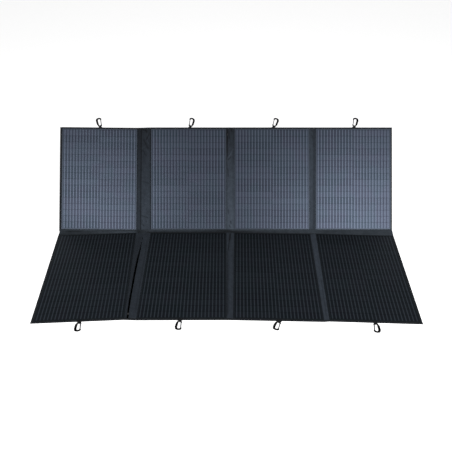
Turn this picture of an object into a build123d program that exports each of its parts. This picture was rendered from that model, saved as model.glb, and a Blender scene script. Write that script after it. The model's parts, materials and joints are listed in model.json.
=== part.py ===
from build123d import *
import os
from dataclasses import dataclass
from math import asin, atan2, cos, degrees, hypot, radians, sin

os.makedirs("parts", exist_ok=True)

# A folding solar blanket: two rows of four stiff panels in black cloth. The lower row lies flat on
# the ground, nearest to -Y. The upper row is hinged to its far edge along X and leans up and back on
# four prop legs. Millimetres and degrees; +Z up; the origin is in the middle of the lower row's
# underside, on the ground.

# --- panels ---------------------------------------------------------------------------------------
strip_width = 210.0          # a cell strip: a 210 mm cell cut in six
strip_height = 35.0
strip_gap = 0.5              # between one row of strips and the next
strips_across = 2
strip_rows = 16
laminate_margin = 6.0        # bare laminate round the cells
laminate_thickness = 1.4
board_thickness = 2.6
board_inset = 3.0            # the stiff board is this much smaller than its laminate

# --- cloth ----------------------------------------------------------------------------------------
back_cloth_thickness = 0.8
seam_thickness = 1.6
seam_widths = (86.0, 50.0, 37.0)   # wide enough to roll the panels up from the right
binding_width = 9.0
binding_thickness = 3.4
lower_fold_gaps = (18.0, 8.5, 13.5, 24.0)   # from the fold line to each panel's fold end
upper_fold_gaps = (12.0, 12.0, 12.0, 12.0)
cloth_gap = 0.4              # from the fold line to each row's back cloth
butt_gap = 0.2               # between two widths of cloth, and between two lengths of tape

# --- fold between the rows ------------------------------------------------------------------------
fold_axis_height = 9.4       # the rows close face to face about this line, hooks and loops between
bead_radius = 1.6            # piped bead on the fold line
bead_clearance = 0.3
leaf_thickness = 1.2
leaf_foot_inner = 3.8        # the leaf is sewn down from here
leaf_foot_outer = 6.6        # to here
leaf_rise_half = 0.72        # half the thickness, along the slope, of the part that rises
upper_tilt = 46.0            # lean of the upper row above the ground

# --- flat leads -----------------------------------------------------------------------------------
lead_width = 10.0
lead_thickness = 1.0
lead_clearance = 0.2
lead_distance = 560.0        # from the fold line
lead_end = 60.0              # how far a lead runs in from the middle of the outer panels

# --- webbing loops and snap hooks -----------------------------------------------------------------
hook_bar_radius = 3.1
hook_bar_height = 4.5        # bar centre above the back face
hook_reach = 7.0             # from the binding's edge to the bar that the loop holds
webbing_thickness = 1.0
loop_clearance = 0.3
loop_half_width = 3.8
loop_flare_half_width = 11.5
loop_tail_thickness = 2.4
hook_bend_small = 3.8        # bend radii of the hook's bar
hook_bend_nose = 5.5
hook_bend_shoulder = 7.5
hook_bend_spine = 10.0
spine_rib_width = 8.1        # a flat rib forged along the outside of the hook's spine
spine_rib_thickness = 5.0
spine_rib_offset = 2.15      # its middle, outwards from the middle of the bar
spine_rib_start = 12.0       # out from the loop's bar
spine_rib_end = 41.0
gate_width = 4.0
gate_thickness = 4.6
gate_end_gap = 0.4
tongue_thickness = 1.8
tongue_clearance = 0.2       # each side of the tongue, in the gate's fork
rivet_radius = 1.0
rivet_clearance = 0.06
rivet_head_radius = 1.7
rivet_head_height = 0.6

# --- prop legs ------------------------------------------------------------------------------------
leg_radius = 6.0
leg_wall = 1.5
leg_length = 400.0           # pivot to the middle of the ball foot
leg_pivot_distance = 440.0   # from the fold line, up the slope
leg_solid_end = 20.0         # the tube is plugged this far from the pivot
foot_radius = 10.0
foot_sleeve_radius = 8.0
foot_sleeve_length = 24.0
foot_cover = 2.0             # rubber between the tube's end and the middle of the ball
fold_clearance = 0.6         # between the folded foot and the back cloth
leg_pin_radius = 2.5
leg_pin_clearance = 0.06
bracket_plate = (40.0, 52.0, 2.0)
bracket_ear_thickness = 3.0
bracket_ear_clearance = 0.4
bracket_ear_radius = 7.0
stop_radius = 2.6
stop_distance = 12.0         # along the leg from its pivot
stop_clearance = 0.3
fixing_radius = 1.6
fixing_head_radius = 3.2
fixing_head_height = 1.2
fixing_inset = 5.0           # from the plate's corners

# --- junction box ---------------------------------------------------------------------------------
box_size = (120.0, 80.0, 20.0)
box_wall = 2.5
box_offset = 125.0           # from the middle of the last panel
box_distance = 490.0         # from the fold line
lid_thickness = 3.0
lid_lip = 2.0
lid_clearance = 0.2
socket_size = (30.0, 26.0, 13.0)
socket_flange = (38.0, 3.0, 17.0)
socket_cell = (11.0, 18.0, 10.0)
socket_cell_pitch = 13.5
socket_blade = (7.0, 14.0, 1.6)     # a blade lies along the cell's front wall

# --- worked out from the values above ---------------------------------------------------------------
panel_width = strips_across * strip_width + 2 * laminate_margin
panel_height = strip_rows * (strip_height + strip_gap) + 2 * laminate_margin
columns = len(seam_widths) + 1
row_width = columns * panel_width + sum(seam_widths)
fold_y = sum(lower_fold_gaps) / columns + panel_height / 2   # the origin is in the lower row's middle
board_top = back_cloth_thickness + board_thickness
loop_inner_radius = hook_bar_radius + loop_clearance
loop_outer_radius = loop_inner_radius + webbing_thickness


def column_centres():
    """Middles of the panels along X, with the seams between them, centred on the row."""
    centres = []
    edge = -row_width / 2
    for index in range(columns):
        centres.append(edge + panel_width / 2)
        if index < len(seam_widths):
            edge += panel_width + seam_widths[index]
    return centres


centres = column_centres()


@dataclass(frozen=True)
class Row:
    """One row of panels. way is -1 where the row runs towards -Y and +1 where it runs back."""

    name: str
    way: int
    tilt: float
    fold_gaps: tuple     # from the fold line to the middle of each panel's fold end
    turns: tuple         # how far each panel lies turned anticlockwise in the plane of the cloth
    hook_leans: tuple    # how far each hook leans clockwise from square, seen from the front
    hook_offsets: tuple  # how far each loop is sewn from the middle of its panel
    gate_sides: tuple    # which side of each hook its gate is on


lower = Row("lower", -1, 0.0, lower_fold_gaps, (2.8, 0.2, -1.3, -2.1), (-2.0, 5.0, 22.0, 4.0),
            (5.0, -6.0, 3.0, 0.0), (-1, -1, -1, 1))
upper = Row("upper", 1, upper_tilt, upper_fold_gaps, (-0.6, 0.0, 0.0, 0.0), (-12.0, 12.0, 17.0, 10.0),
            (3.0, 10.0, 10.0, 5.0), (1, -1, -1, -1))


def row_plane(row, height):
    """Plane of a row at a height above its back face: local X across, local Y up or away."""
    lean = radians(row.tilt)
    rise = height - fold_axis_height
    origin = (0, fold_y - rise * sin(lean), fold_axis_height + rise * cos(lean))
    return Plane(origin=origin, x_dir=(1, 0, 0), z_dir=(0, -sin(lean), cos(lean)))


def panel_plane(row, index, height):
    """Plane of one panel, with its origin in the middle of the panel's fold end."""
    fold_end = Location((centres[index], row.way * row.fold_gaps[index], 0), (0, 0, row.turns[index]))
    return Plane(row_plane(row, height).location * fold_end)


def panel_point(row, index, across, out):
    """Row-plane coordinates of a point on a panel: across it, and out from its fold end."""
    turn = radians(row.turns[index])
    reach = row.way * out
    x = centres[index] + across * cos(turn) - reach * sin(turn)
    y = row.way * row.fold_gaps[index] + across * sin(turn) + reach * cos(turn)
    return (x, y)


def cloth_outline(row):
    """Corners of a row's back cloth: a straight fold edge, then round the panels' outer corners."""
    half = panel_width / 2
    corners = [(-row_width / 2, row.way * cloth_gap), panel_point(row, 0, -half, 0)]
    for index in range(columns):
        corners.append(panel_point(row, index, -half, panel_height))
        corners.append(panel_point(row, index, half, panel_height))
    corners.append(panel_point(row, columns - 1, half, 0))
    corners.append((row_width / 2, row.way * cloth_gap))
    return corners


def cut_across(starts, ends, height):
    """Part a flat piece along straight lines, each from a start to an end, right through it."""
    for start, end in zip(starts, ends):
        run = (end[0] - start[0], end[1] - start[1])
        middle = ((start[0] + end[0]) / 2, (start[1] + end[1]) / 2)
        with Locations(Location(middle, (0, 0, degrees(atan2(run[1], run[0]))))):
            Rectangle(hypot(*run), height, mode=Mode.SUBTRACT)


def save(builder, name):
    """Label a finished piece and write its STEP file."""
    builder.part.label = name
    export_step(builder.part, "parts/" + name + ".step")


def fixing_points():
    """Where the bracket fixings go, in row-plane coordinates."""
    x_reach = bracket_plate[0] / 2 - fixing_inset
    y_reach = bracket_plate[1] / 2 - fixing_inset
    points = []
    for x in centres:
        for side, end in ((-1, -1), (1, -1), (-1, 1), (1, 1)):
            points.append((x + side * x_reach, leg_pivot_distance + end * y_reach))
    return points


def lead_sketch(row, clearance):
    """Plan of a row's flat lead, drawn in the open sketch, wider by a clearance each side."""
    length = centres[-1] - centres[0] - 2 * lead_end + 2 * clearance
    with Locations(((centres[0] + centres[-1]) / 2, row.way * lead_distance)):
        Rectangle(length, lead_width + 2 * clearance)


def make_back_cloth(row):
    """The carrier cloth behind a whole row, a width to each column, holed for the bracket fixings."""
    half = panel_width / 2
    seam_middles = [(centres[index] + half + width / 2, 0) for index, width in enumerate(seam_widths)]
    outer_ends = [(x, row.way * 2 * panel_height) for x, _ in seam_middles]
    with BuildPart() as back_cloth:
        with BuildSketch(row_plane(row, 0)):
            Polygon(*cloth_outline(row), align=None)
            cut_across(seam_middles, outer_ends, butt_gap)
            if row is upper:
                with Locations(*fixing_points()):
                    Circle(fixing_radius, mode=Mode.SUBTRACT)
        extrude(amount=back_cloth_thickness)
    save(back_cloth, row.name + "_back_cloth")


def make_boards(row):
    """Stiff boards behind the laminates, with a channel for the flat lead."""
    with BuildPart() as boards:
        for index in range(columns):
            with BuildSketch(panel_plane(row, index, back_cloth_thickness)):
                with Locations((0, row.way * panel_height / 2)):
                    Rectangle(panel_width - 2 * board_inset, panel_height - 2 * board_inset)
        extrude(amount=board_thickness)
        with BuildSketch(row_plane(row, back_cloth_thickness)):
            lead_sketch(row, lead_clearance)
        extrude(amount=lead_thickness + lead_clearance, mode=Mode.SUBTRACT)
        if row is upper:
            with BuildSketch(row_plane(row, back_cloth_thickness)):
                with Locations(*fixing_points()):
                    Circle(fixing_radius)
            extrude(amount=board_thickness, mode=Mode.SUBTRACT)
    save(boards, row.name + "_boards")


def make_laminate(row, index):
    """One solar laminate: cell strips sealed under a clear film, a plain sheet here."""
    with BuildPart() as laminate:
        with BuildSketch(panel_plane(row, index, board_top)):
            with Locations((0, row.way * panel_height / 2)):
                Rectangle(panel_width, panel_height)
        extrude(amount=laminate_thickness)
    save(laminate, row.name + "_laminate_" + str(index + 1))


def make_seams(row):
    """Cloth strips between the panels of a row, hollow beneath for the flat lead."""
    half = panel_width / 2
    with BuildPart() as seams:
        with BuildSketch(row_plane(row, back_cloth_thickness)):
            for index in range(columns - 1):
                Polygon(panel_point(row, index, half, 0),
                        panel_point(row, index, half, panel_height),
                        panel_point(row, index + 1, -half, panel_height),
                        panel_point(row, index + 1, -half, 0), align=None)
        extrude(amount=seam_thickness)
        with BuildSketch(row_plane(row, back_cloth_thickness)):
            lead_sketch(row, lead_clearance)
        extrude(amount=lead_thickness + lead_clearance, mode=Mode.SUBTRACT)
    save(seams, row.name + "_seams")


def make_leads(row):
    """Flat lead that links the panels of a row, laid on the back cloth."""
    with BuildPart() as leads:
        with BuildSketch(row_plane(row, back_cloth_thickness)):
            lead_sketch(row, 0)
        extrude(amount=lead_thickness)
    save(leads, row.name + "_leads")


def make_binding(row):
    """Edge binding round the three outer sides of a row, in lengths mitred at the panels' corners."""
    half = panel_width / 2
    corners = [panel_point(row, index, side * half, panel_height)
               for index in range(columns) for side in (-1, 1)]
    mitres = []
    for index, corner in enumerate(corners):
        reach = 2 * binding_width
        lean_out = reach * (index == len(corners) - 1) - reach * (index == 0)
        mitres.append((corner[0] + lean_out, corner[1] + row.way * reach))
    insides = [(2 * c[0] - m[0], 2 * c[1] - m[1]) for c, m in zip(corners, mitres)]
    with BuildPart() as binding:
        with BuildSketch(row_plane(row, 0)):
            Polygon(*cloth_outline(row), align=None)
            offset(amount=binding_width, kind=Kind.INTERSECTION)
            Polygon(*cloth_outline(row), align=None, mode=Mode.SUBTRACT)
            with Locations((0, row.way * (cloth_gap - binding_width))):
                Rectangle(row_width + 4 * binding_width, 2 * binding_width, mode=Mode.SUBTRACT)
            cut_across(insides, mitres, butt_gap)
        extrude(amount=binding_thickness)
    save(binding, row.name + "_binding")


def make_fold_leaf(row, has_bead):
    """Half of the cloth fold: a leaf sewn to its row that rises to the fold line."""
    lean = radians(row.tilt)
    out = (0, row.way * cos(lean), sin(lean))
    width = row_width - 2 * cloth_gap
    foot_bottom = back_cloth_thickness - fold_axis_height
    foot_top = foot_bottom + leaf_thickness
    profile = Plane(origin=(-row.way * width / 2, fold_y, fold_axis_height), x_dir=out,
                    z_dir=(row.way, 0, 0))
    with BuildPart() as leaf:
        with BuildSketch(profile):
            Polygon((leaf_foot_outer, foot_bottom), (leaf_foot_outer, foot_top),
                    (leaf_foot_inner, foot_top), (leaf_foot_inner, foot_bottom), align=None)
            Polygon((leaf_foot_inner + leaf_rise_half, foot_bottom), (leaf_rise_half, 0),
                    (-leaf_rise_half, 0), (leaf_foot_inner - leaf_rise_half, foot_bottom), align=None)
            if has_bead:
                Circle(bead_radius)
            else:
                Circle(bead_radius + bead_clearance, mode=Mode.SUBTRACT)
        extrude(amount=width)
    save(leaf, row.name + "_fold_leaf")


def hook_plane(row, index):
    """Plane of a hook at its bar's height: origin on the held bar, local Y out along the hook."""
    edge = Location((row.hook_offsets[index], row.way * (panel_height + binding_width), 0),
                    (0, 0, 90 - 90 * row.way - row.hook_leans[index]))
    panel = panel_plane(row, index, hook_bar_height)
    return Plane(panel.location * edge * Location((0, hook_reach, 0)))


def make_loop(row, index):
    """One webbing loop: it leaves the binding, narrows, and goes round the hook's bar."""
    held = hook_plane(row, index)
    side_view = Plane(origin=held.origin, x_dir=held.y_dir, z_dir=held.x_dir)
    tail = 2 * hook_reach
    tail_middle = loop_tail_thickness / 2 - hook_bar_height + (binding_thickness - loop_tail_thickness) / 2
    flare_start = -hook_bar_radius - loop_clearance * 2
    flare = loop_flare_half_width
    panel = panel_plane(row, index, 0)
    edge_middle = panel.from_local_coords((0, row.way * (panel_height + binding_width), 0))
    cut = Plane(origin=edge_middle, z_dir=panel.y_dir * row.way)
    with BuildPart() as loop:
        with BuildSketch(side_view):
            Circle(loop_outer_radius)
            with Locations((-(tail + loop_inner_radius) / 2, tail_middle)):
                Rectangle(tail - loop_inner_radius, loop_tail_thickness)
            Circle(loop_inner_radius, mode=Mode.SUBTRACT)
        extrude(amount=flare, both=True)
        with BuildSketch(held.offset(-2 * loop_outer_radius)):
            Polygon((loop_half_width, loop_outer_radius), (loop_half_width, flare_start),
                    (flare, -hook_reach), (flare, -tail), (-flare, -tail), (-flare, -hook_reach),
                    (-loop_half_width, flare_start), (-loop_half_width, loop_outer_radius), align=None)
        extrude(amount=4 * loop_outer_radius, mode=Mode.INTERSECT)
        split(bisect_by=cut, keep=Keep.TOP)
    return loop.part


def make_loops(row):
    """The four webbing loops on a row's outer edge."""
    pieces = [make_loop(row, index) for index in range(columns)]
    with BuildPart() as loops:
        for piece in pieces:
            add(piece)
    save(loops, row.name + "_loops")


# The bar of a hook, seen from its front with the gate on the right: across, and out from the loop.
gate_pivot = (8.2, 9.6)
gate_crest = (10.8, 43.0)
held_corner = 7.6
spine_corner = (-11.4, 33.0)
shoulder_corner = (-7.0, 45.5)
nose_length = 6.5
gate_run = (gate_crest[0] - gate_pivot[0], gate_crest[1] - gate_pivot[1])
gate_line = (gate_run[0] / hypot(*gate_run), gate_run[1] / hypot(*gate_run))
nose_end = (gate_crest[0] - nose_length * gate_line[0], gate_crest[1] - nose_length * gate_line[1])
bar_start_gap = gate_width / 2 + gate_end_gap
bar_start = (gate_pivot[0] - bar_start_gap * gate_line[0], gate_pivot[1] - bar_start_gap * gate_line[1])
gate_length = hypot(nose_end[0] - gate_pivot[0], nose_end[1] - gate_pivot[1]) - gate_width / 2 - gate_end_gap
gate_angle = degrees(atan2(gate_line[1], gate_line[0]))


def spine_point(out):
    """Point on a hook's spine or shoulder at a distance out from the loop's bar, gate on the right."""
    start, end = ((-held_corner, 0), spine_corner) if out < spine_corner[1] else (spine_corner, shoulder_corner)
    share = (out - start[1]) / (end[1] - start[1])
    return (start[0] + share * (end[0] - start[0]), out)


def make_hook(row, index):
    """The bar body of one hook, with its spine's rib and the tongue that its gate turns on."""
    plane = hook_plane(row, index)
    side = row.gate_sides[index]
    corners = (bar_start, (held_corner, 0), (-held_corner, 0), spine_corner, shoulder_corner,
               gate_crest, nose_end)
    bends = [hook_bend_small, hook_bend_small, hook_bend_spine, hook_bend_shoulder, hook_bend_nose]
    with BuildPart() as hook:
        with BuildLine(plane) as bar:
            FilletPolyline(*[(side * x, y) for x, y in corners], radius=bends)
        with BuildSketch(Plane(origin=bar.line @ 0, z_dir=bar.line % 0)):
            Circle(hook_bar_radius)
        sweep()
        rib_line = [(side * (x - spine_rib_offset), y) for x, y in
                    (spine_point(spine_rib_start), spine_corner, spine_point(spine_rib_end))]
        with BuildSketch(plane.offset(-spine_rib_thickness / 2)):
            with BuildLine():
                FilletPolyline(*rib_line, radius=hook_bend_spine)
            trace(line_width=spine_rib_width)
            with Locations(rib_line[0], rib_line[-1]):
                Circle(spine_rib_width / 2)
        extrude(amount=spine_rib_thickness)
        with BuildSketch(plane.offset(-tongue_thickness / 2)):
            with Locations(Location((side * (gate_pivot[0] + bar_start[0]) / 2,
                                     (gate_pivot[1] + bar_start[1]) / 2), (0, 0, side * gate_angle))):
                SlotCenterToCenter(bar_start_gap, 2 * rivet_head_radius)
        extrude(amount=tongue_thickness)
        with BuildSketch(plane.offset(-gate_thickness)):
            with Locations((side * gate_pivot[0], gate_pivot[1])):
                Circle(rivet_radius)
        extrude(amount=2 * gate_thickness, mode=Mode.SUBTRACT)
    save(hook, row.name + "_hook_" + str(index + 1))


def make_gate(row, index):
    """The sprung gate of one hook: a bar with a forked end on the rivet."""
    plane = hook_plane(row, index)
    side = row.gate_sides[index]
    middle = (side * (gate_pivot[0] + gate_length / 2 * gate_line[0]),
              gate_pivot[1] + gate_length / 2 * gate_line[1])
    pivot = (side * gate_pivot[0], gate_pivot[1])
    with BuildPart() as gate:
        with BuildSketch(plane.offset(-gate_thickness / 2)):
            with Locations(Location(middle, (0, 0, side * gate_angle))):
                SlotCenterToCenter(gate_length, gate_width)
        extrude(amount=gate_thickness)
        with BuildSketch(plane.offset(-tongue_thickness / 2 - tongue_clearance)):
            with Locations(pivot):
                Circle(gate_width)
        extrude(amount=tongue_thickness + 2 * tongue_clearance, mode=Mode.SUBTRACT)
        with BuildSketch(plane.offset(-gate_thickness)):
            with Locations(pivot):
                Circle(rivet_radius + rivet_clearance)
        extrude(amount=2 * gate_thickness, mode=Mode.SUBTRACT)
    save(gate, row.name + "_gate_" + str(index + 1))


def make_rivet(row, index):
    """The rivet through the gate's fork and the hook's tongue."""
    plane = hook_plane(row, index)
    pivot = (row.gate_sides[index] * gate_pivot[0], gate_pivot[1])
    shank = gate_thickness / 2 + rivet_clearance
    with BuildPart() as rivet:
        with BuildSketch(plane.offset(-shank)):
            with Locations(pivot):
                Circle(rivet_radius)
        extrude(amount=2 * shank)
        for foot in (-shank - rivet_head_height, shank):
            with BuildSketch(plane.offset(foot)):
                with Locations(pivot):
                    Circle(rivet_head_radius)
            extrude(amount=rivet_head_height)
    save(rivet, row.name + "_rivet_" + str(index + 1))


# --- prop legs, in the upper row's side view: out along the slope, and forward from its back face ---
pivot_drop = foot_radius + fold_clearance
lean = radians(upper_tilt)
slope = (cos(lean), sin(lean))
pivot_rise = -pivot_drop - fold_axis_height
pivot_y = fold_y + leg_pivot_distance * slope[0] - pivot_rise * slope[1]
pivot_z = fold_axis_height + leg_pivot_distance * slope[1] + pivot_rise * slope[0]
leg_dip = asin((pivot_z - foot_radius) / leg_length)
leg_y = cos(leg_dip)
leg_z = -sin(leg_dip)
leg_out = leg_y * slope[0] + leg_z * slope[1]
leg_fore = leg_z * slope[0] - leg_y * slope[1]
leg_fold_angle = degrees(leg_dip) - (180 - upper_tilt)


def leg_axis_plane(x, distance):
    """Plane square to a leg, with its origin at a distance down the leg from the pivot."""
    origin = (x, pivot_y + distance * leg_y, pivot_z + distance * leg_z)
    return Plane(origin=origin, x_dir=(1, 0, 0), z_dir=(0, leg_y, leg_z))


def make_leg(index):
    """One leg: a tube with a rounded, plugged end that the pin goes through."""
    x = centres[index]
    tube_end = leg_length - foot_cover
    cross = Plane(origin=(x - 2 * leg_radius, pivot_y, pivot_z), x_dir=(0, 1, 0), z_dir=(1, 0, 0))
    with BuildPart() as leg:
        with BuildSketch(leg_axis_plane(x, 0)):
            Circle(leg_radius)
        extrude(amount=tube_end)
        with Locations((x, pivot_y, pivot_z)):
            Sphere(leg_radius)
        with BuildSketch(leg_axis_plane(x, leg_solid_end)):
            Circle(leg_radius - leg_wall)
        extrude(amount=tube_end - leg_solid_end, mode=Mode.SUBTRACT)
        with BuildSketch(cross):
            Circle(leg_pin_radius + leg_pin_clearance)
        extrude(amount=4 * leg_radius, mode=Mode.SUBTRACT)
    save(leg, "leg_" + str(index + 1))


def make_leg_foot(index):
    """The rubber ball foot on the end of a leg."""
    x = centres[index]
    with BuildPart() as foot:
        with BuildSketch(leg_axis_plane(x, leg_length - foot_sleeve_length)):
            Circle(foot_sleeve_radius)
        extrude(amount=foot_sleeve_length)
        with Locations(leg_axis_plane(x, leg_length).origin):
            Sphere(foot_radius)
        with BuildSketch(leg_axis_plane(x, leg_length - foot_sleeve_length)):
            Circle(leg_radius)
        extrude(amount=foot_sleeve_length - foot_cover, mode=Mode.SUBTRACT)
    save(foot, "leg_foot_" + str(index + 1))


def bracket_profile(x):
    """Side-view plane of the upper row at x: local X up the slope, local Y forward."""
    base = row_plane(upper, 0)
    return Plane(origin=base.from_local_coords((x, leg_pivot_distance, 0)), x_dir=base.y_dir,
                 z_dir=base.x_dir)


def make_leg_brackets():
    """The four leg brackets: a plate, two ears, and the bar that stops the leg when it is open."""
    stop_out = stop_distance * leg_out - (leg_radius + stop_clearance + stop_radius) * leg_fore
    stop_fore = stop_distance * leg_fore + (leg_radius + stop_clearance + stop_radius) * leg_out
    ear_inner = leg_radius + bracket_ear_clearance
    stop = (stop_out, stop_fore - pivot_drop)
    with BuildPart() as brackets:
        with BuildSketch(row_plane(upper, -bracket_plate[2])):
            with Locations(*[(x, leg_pivot_distance) for x in centres]):
                Rectangle(bracket_plate[0], bracket_plate[1])
            with Locations(*fixing_points()):
                Circle(fixing_radius, mode=Mode.SUBTRACT)
        extrude(amount=bracket_plate[2])
        for x in centres:
            for inner in (ear_inner, -ear_inner - bracket_ear_thickness):
                with BuildSketch(bracket_profile(x + inner)):
                    with Locations((0, -pivot_drop)):
                        Circle(bracket_ear_radius)
                    with Locations(stop):
                        Circle(stop_radius + leg_wall)
                    with Locations((0, -bracket_plate[2])):
                        Rectangle(4 * leg_radius, bracket_plate[2] / 2, align=(Align.CENTER, Align.MIN))
                    make_hull()
                    with Locations((0, -pivot_drop)):
                        Circle(leg_pin_radius, mode=Mode.SUBTRACT)
                extrude(amount=bracket_ear_thickness)
            with BuildSketch(bracket_profile(x - ear_inner)):
                with Locations(stop):
                    Circle(stop_radius)
            extrude(amount=2 * ear_inner)
    save(brackets, "leg_brackets")


def make_leg_pins():
    """The pins that the legs turn on, flush with the outside of the ears."""
    reach = leg_radius + bracket_ear_clearance + bracket_ear_thickness
    with BuildPart() as pins:
        for x in centres:
            with BuildSketch(bracket_profile(x - reach)):
                with Locations((0, -pivot_drop)):
                    Circle(leg_pin_radius)
            extrude(amount=2 * reach)
    save(pins, "leg_pins")


def make_bracket_rivets():
    """Rivets from each bracket through the back cloth and the board."""
    with BuildPart() as rivets:
        with BuildSketch(row_plane(upper, -bracket_plate[2])):
            with Locations(*fixing_points()):
                Circle(fixing_radius)
        extrude(amount=bracket_plate[2] + board_top)
        with BuildSketch(row_plane(upper, -bracket_plate[2] - fixing_head_height)):
            with Locations(*fixing_points()):
                Circle(fixing_head_radius)
        extrude(amount=fixing_head_height)
    save(rivets, "bracket_rivets")


# --- junction box on the back of the last panel of the upper row ------------------------------------
box_centre = (centres[-1] + box_offset, box_distance)
socket_edge = box_distance - box_size[1] / 2
socket_middle = -box_wall - lid_clearance - socket_flange[2] / 2


def box_plane(height):
    """Plane of the junction box at a height above the upper row's back face."""
    return Plane(row_plane(upper, height).location * Location((box_centre[0], box_centre[1], 0)))


def make_box_tray():
    """The box's tray: a floor against the cloth, four walls, and the hole for the socket."""
    with BuildPart() as tray:
        with BuildSketch(box_plane(-box_size[2])):
            RectangleRounded(box_size[0], box_size[1], 3 * box_wall)
        extrude(amount=box_size[2])
        with BuildSketch(box_plane(-box_size[2])):
            RectangleRounded(box_size[0] - 2 * box_wall, box_size[1] - 2 * box_wall, 2 * box_wall)
        extrude(amount=box_size[2] - box_wall, mode=Mode.SUBTRACT)
        with Locations(socket_place()):
            Box(socket_size[0], 4 * box_wall, socket_size[2], mode=Mode.SUBTRACT)
    save(tray, "box_tray")


def make_box_lid():
    """The snap-on lid with its locating lip."""
    rim = 2 * (box_wall + lid_clearance)
    with BuildPart() as lid:
        with BuildSketch(box_plane(-box_size[2] - lid_thickness)):
            RectangleRounded(box_size[0], box_size[1], 3 * box_wall)
        extrude(amount=lid_thickness)
        with BuildSketch(box_plane(-box_size[2])):
            RectangleRounded(box_size[0] - rim, box_size[1] - rim, 2 * box_wall)
            RectangleRounded(box_size[0] - rim - 2 * box_wall, box_size[1] - rim - 2 * box_wall, box_wall,
                             mode=Mode.SUBTRACT)
        extrude(amount=lid_lip)
    save(lid, "box_lid")


def socket_place():
    """Middle of the tray wall that the socket goes through, axes as the upper row's."""
    return row_plane(upper, socket_middle).location * Location((box_centre[0], socket_edge, 0))


def make_output_socket():
    """Two-pole output socket: a flange on the wall, a body inside, and a blade in each cell."""
    wall = socket_place()
    flange_middle = -socket_flange[1] / 2
    body_middle = socket_size[1] / 2 - socket_flange[1]
    with BuildPart() as socket:
        with Locations(wall * Location((0, flange_middle, 0))):
            Box(*socket_flange)
        with Locations(wall * Location((0, body_middle, 0))):
            Box(*socket_size)
        for side in (-1, 1):
            x = side * socket_cell_pitch / 2
            with Locations(wall * Location((x, socket_cell[1] / 2 - socket_flange[1], 0))):
                Box(*socket_cell, mode=Mode.SUBTRACT)
            blade_place = (x, socket_cell[1] - socket_flange[1] - socket_blade[1] / 2,
                           (socket_cell[2] - socket_blade[2]) / 2)
            with Locations(wall * Location(blade_place)):
                Box(*socket_blade)
    save(socket, "output_socket")


for blanket_row in (lower, upper):
    make_back_cloth(blanket_row)
    make_boards(blanket_row)
    make_seams(blanket_row)
    make_leads(blanket_row)
    make_binding(blanket_row)
    make_fold_leaf(blanket_row, has_bead=blanket_row is lower)
    make_loops(blanket_row)
    for column in range(columns):
        make_laminate(blanket_row, column)
        make_hook(blanket_row, column)
        make_gate(blanket_row, column)
        make_rivet(blanket_row, column)

for column in range(columns):
    make_leg(column)
    make_leg_foot(column)
make_leg_brackets()
make_leg_pins()
make_bracket_rivets()
make_box_tray()
make_box_lid()
make_output_socket()

print("leg folds through", round(leg_fold_angle, 2), "pivot", round(pivot_y, 2), round(pivot_z, 2))
for blanket_row in (lower, upper):
    for column in range(columns):
        held = hook_plane(blanket_row, column)
        pivot = held.from_local_coords((blanket_row.gate_sides[column] * gate_pivot[0], gate_pivot[1], 0))
        print(blanket_row.name, column + 1, "bar", held.origin, "along", held.x_dir, "out", held.y_dir,
              "gate", pivot, "normal", held.z_dir)
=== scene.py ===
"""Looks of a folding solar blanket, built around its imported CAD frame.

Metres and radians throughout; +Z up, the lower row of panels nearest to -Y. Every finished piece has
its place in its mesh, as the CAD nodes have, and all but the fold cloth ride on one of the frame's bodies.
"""

import json
import logging
import math
from dataclasses import dataclass, field
from enum import Enum
from typing import Callable, Optional, Sequence, Union

import bpy
import numpy as np
from mathutils import Euler, Matrix, Vector, noise


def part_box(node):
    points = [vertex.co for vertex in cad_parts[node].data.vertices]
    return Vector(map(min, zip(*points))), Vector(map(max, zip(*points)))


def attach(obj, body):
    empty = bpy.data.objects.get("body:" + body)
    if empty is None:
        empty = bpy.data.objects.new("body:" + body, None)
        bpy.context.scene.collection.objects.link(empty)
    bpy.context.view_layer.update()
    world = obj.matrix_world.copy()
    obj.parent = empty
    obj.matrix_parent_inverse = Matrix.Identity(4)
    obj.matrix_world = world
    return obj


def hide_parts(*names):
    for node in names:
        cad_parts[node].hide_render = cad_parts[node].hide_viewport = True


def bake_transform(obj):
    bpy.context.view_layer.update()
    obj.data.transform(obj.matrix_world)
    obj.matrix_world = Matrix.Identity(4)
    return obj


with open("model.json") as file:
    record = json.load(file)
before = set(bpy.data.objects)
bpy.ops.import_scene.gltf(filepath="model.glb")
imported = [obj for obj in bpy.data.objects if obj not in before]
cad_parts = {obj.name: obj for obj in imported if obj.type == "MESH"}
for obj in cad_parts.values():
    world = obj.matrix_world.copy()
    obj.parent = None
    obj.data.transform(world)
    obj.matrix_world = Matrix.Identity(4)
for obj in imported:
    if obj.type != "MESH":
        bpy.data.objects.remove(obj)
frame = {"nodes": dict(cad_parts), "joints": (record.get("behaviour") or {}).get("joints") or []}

logging.basicConfig(level=logging.INFO, format="%(levelname)s %(message)s")
log = logging.getLogger("solar_blanket")

MM = 0.001
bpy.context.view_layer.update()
COLUMNS = 4
Piece = bpy.types.Object
Socket = bpy.types.NodeSocket
Feed = Union[Socket, float, Sequence[float]]            # what can feed a node
Colour = tuple[float, float, float, float]
Run = tuple[Vector, Vector]                             # a straight run's start and end
Lie = Callable[[float, float], tuple[Vector, float]]    # place in a cloth to its point and its tone


# --- small tools ---


def linear(hex_colour: str) -> Colour:
    """Turn an sRGB hex colour into a linear one.

    Args:
        hex_colour: six hex digits after a hash.

    Returns:
        Red, green, blue and alpha, linear.
    """
    parts = [int(hex_colour[i : i + 2], 16) / 255 for i in (1, 3, 5)]
    curve = [c / 12.92 if c <= 0.04045 else ((c + 0.055) / 1.055) ** 2.4 for c in parts]
    return (curve[0], curve[1], curve[2], 1.0)


def deselect_all() -> None:
    """Leave nothing selected, in object mode."""
    if bpy.context.object and bpy.context.object.mode != "OBJECT":
        bpy.ops.object.mode_set(mode="OBJECT")
    bpy.ops.object.select_all(action="DESELECT")


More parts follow.
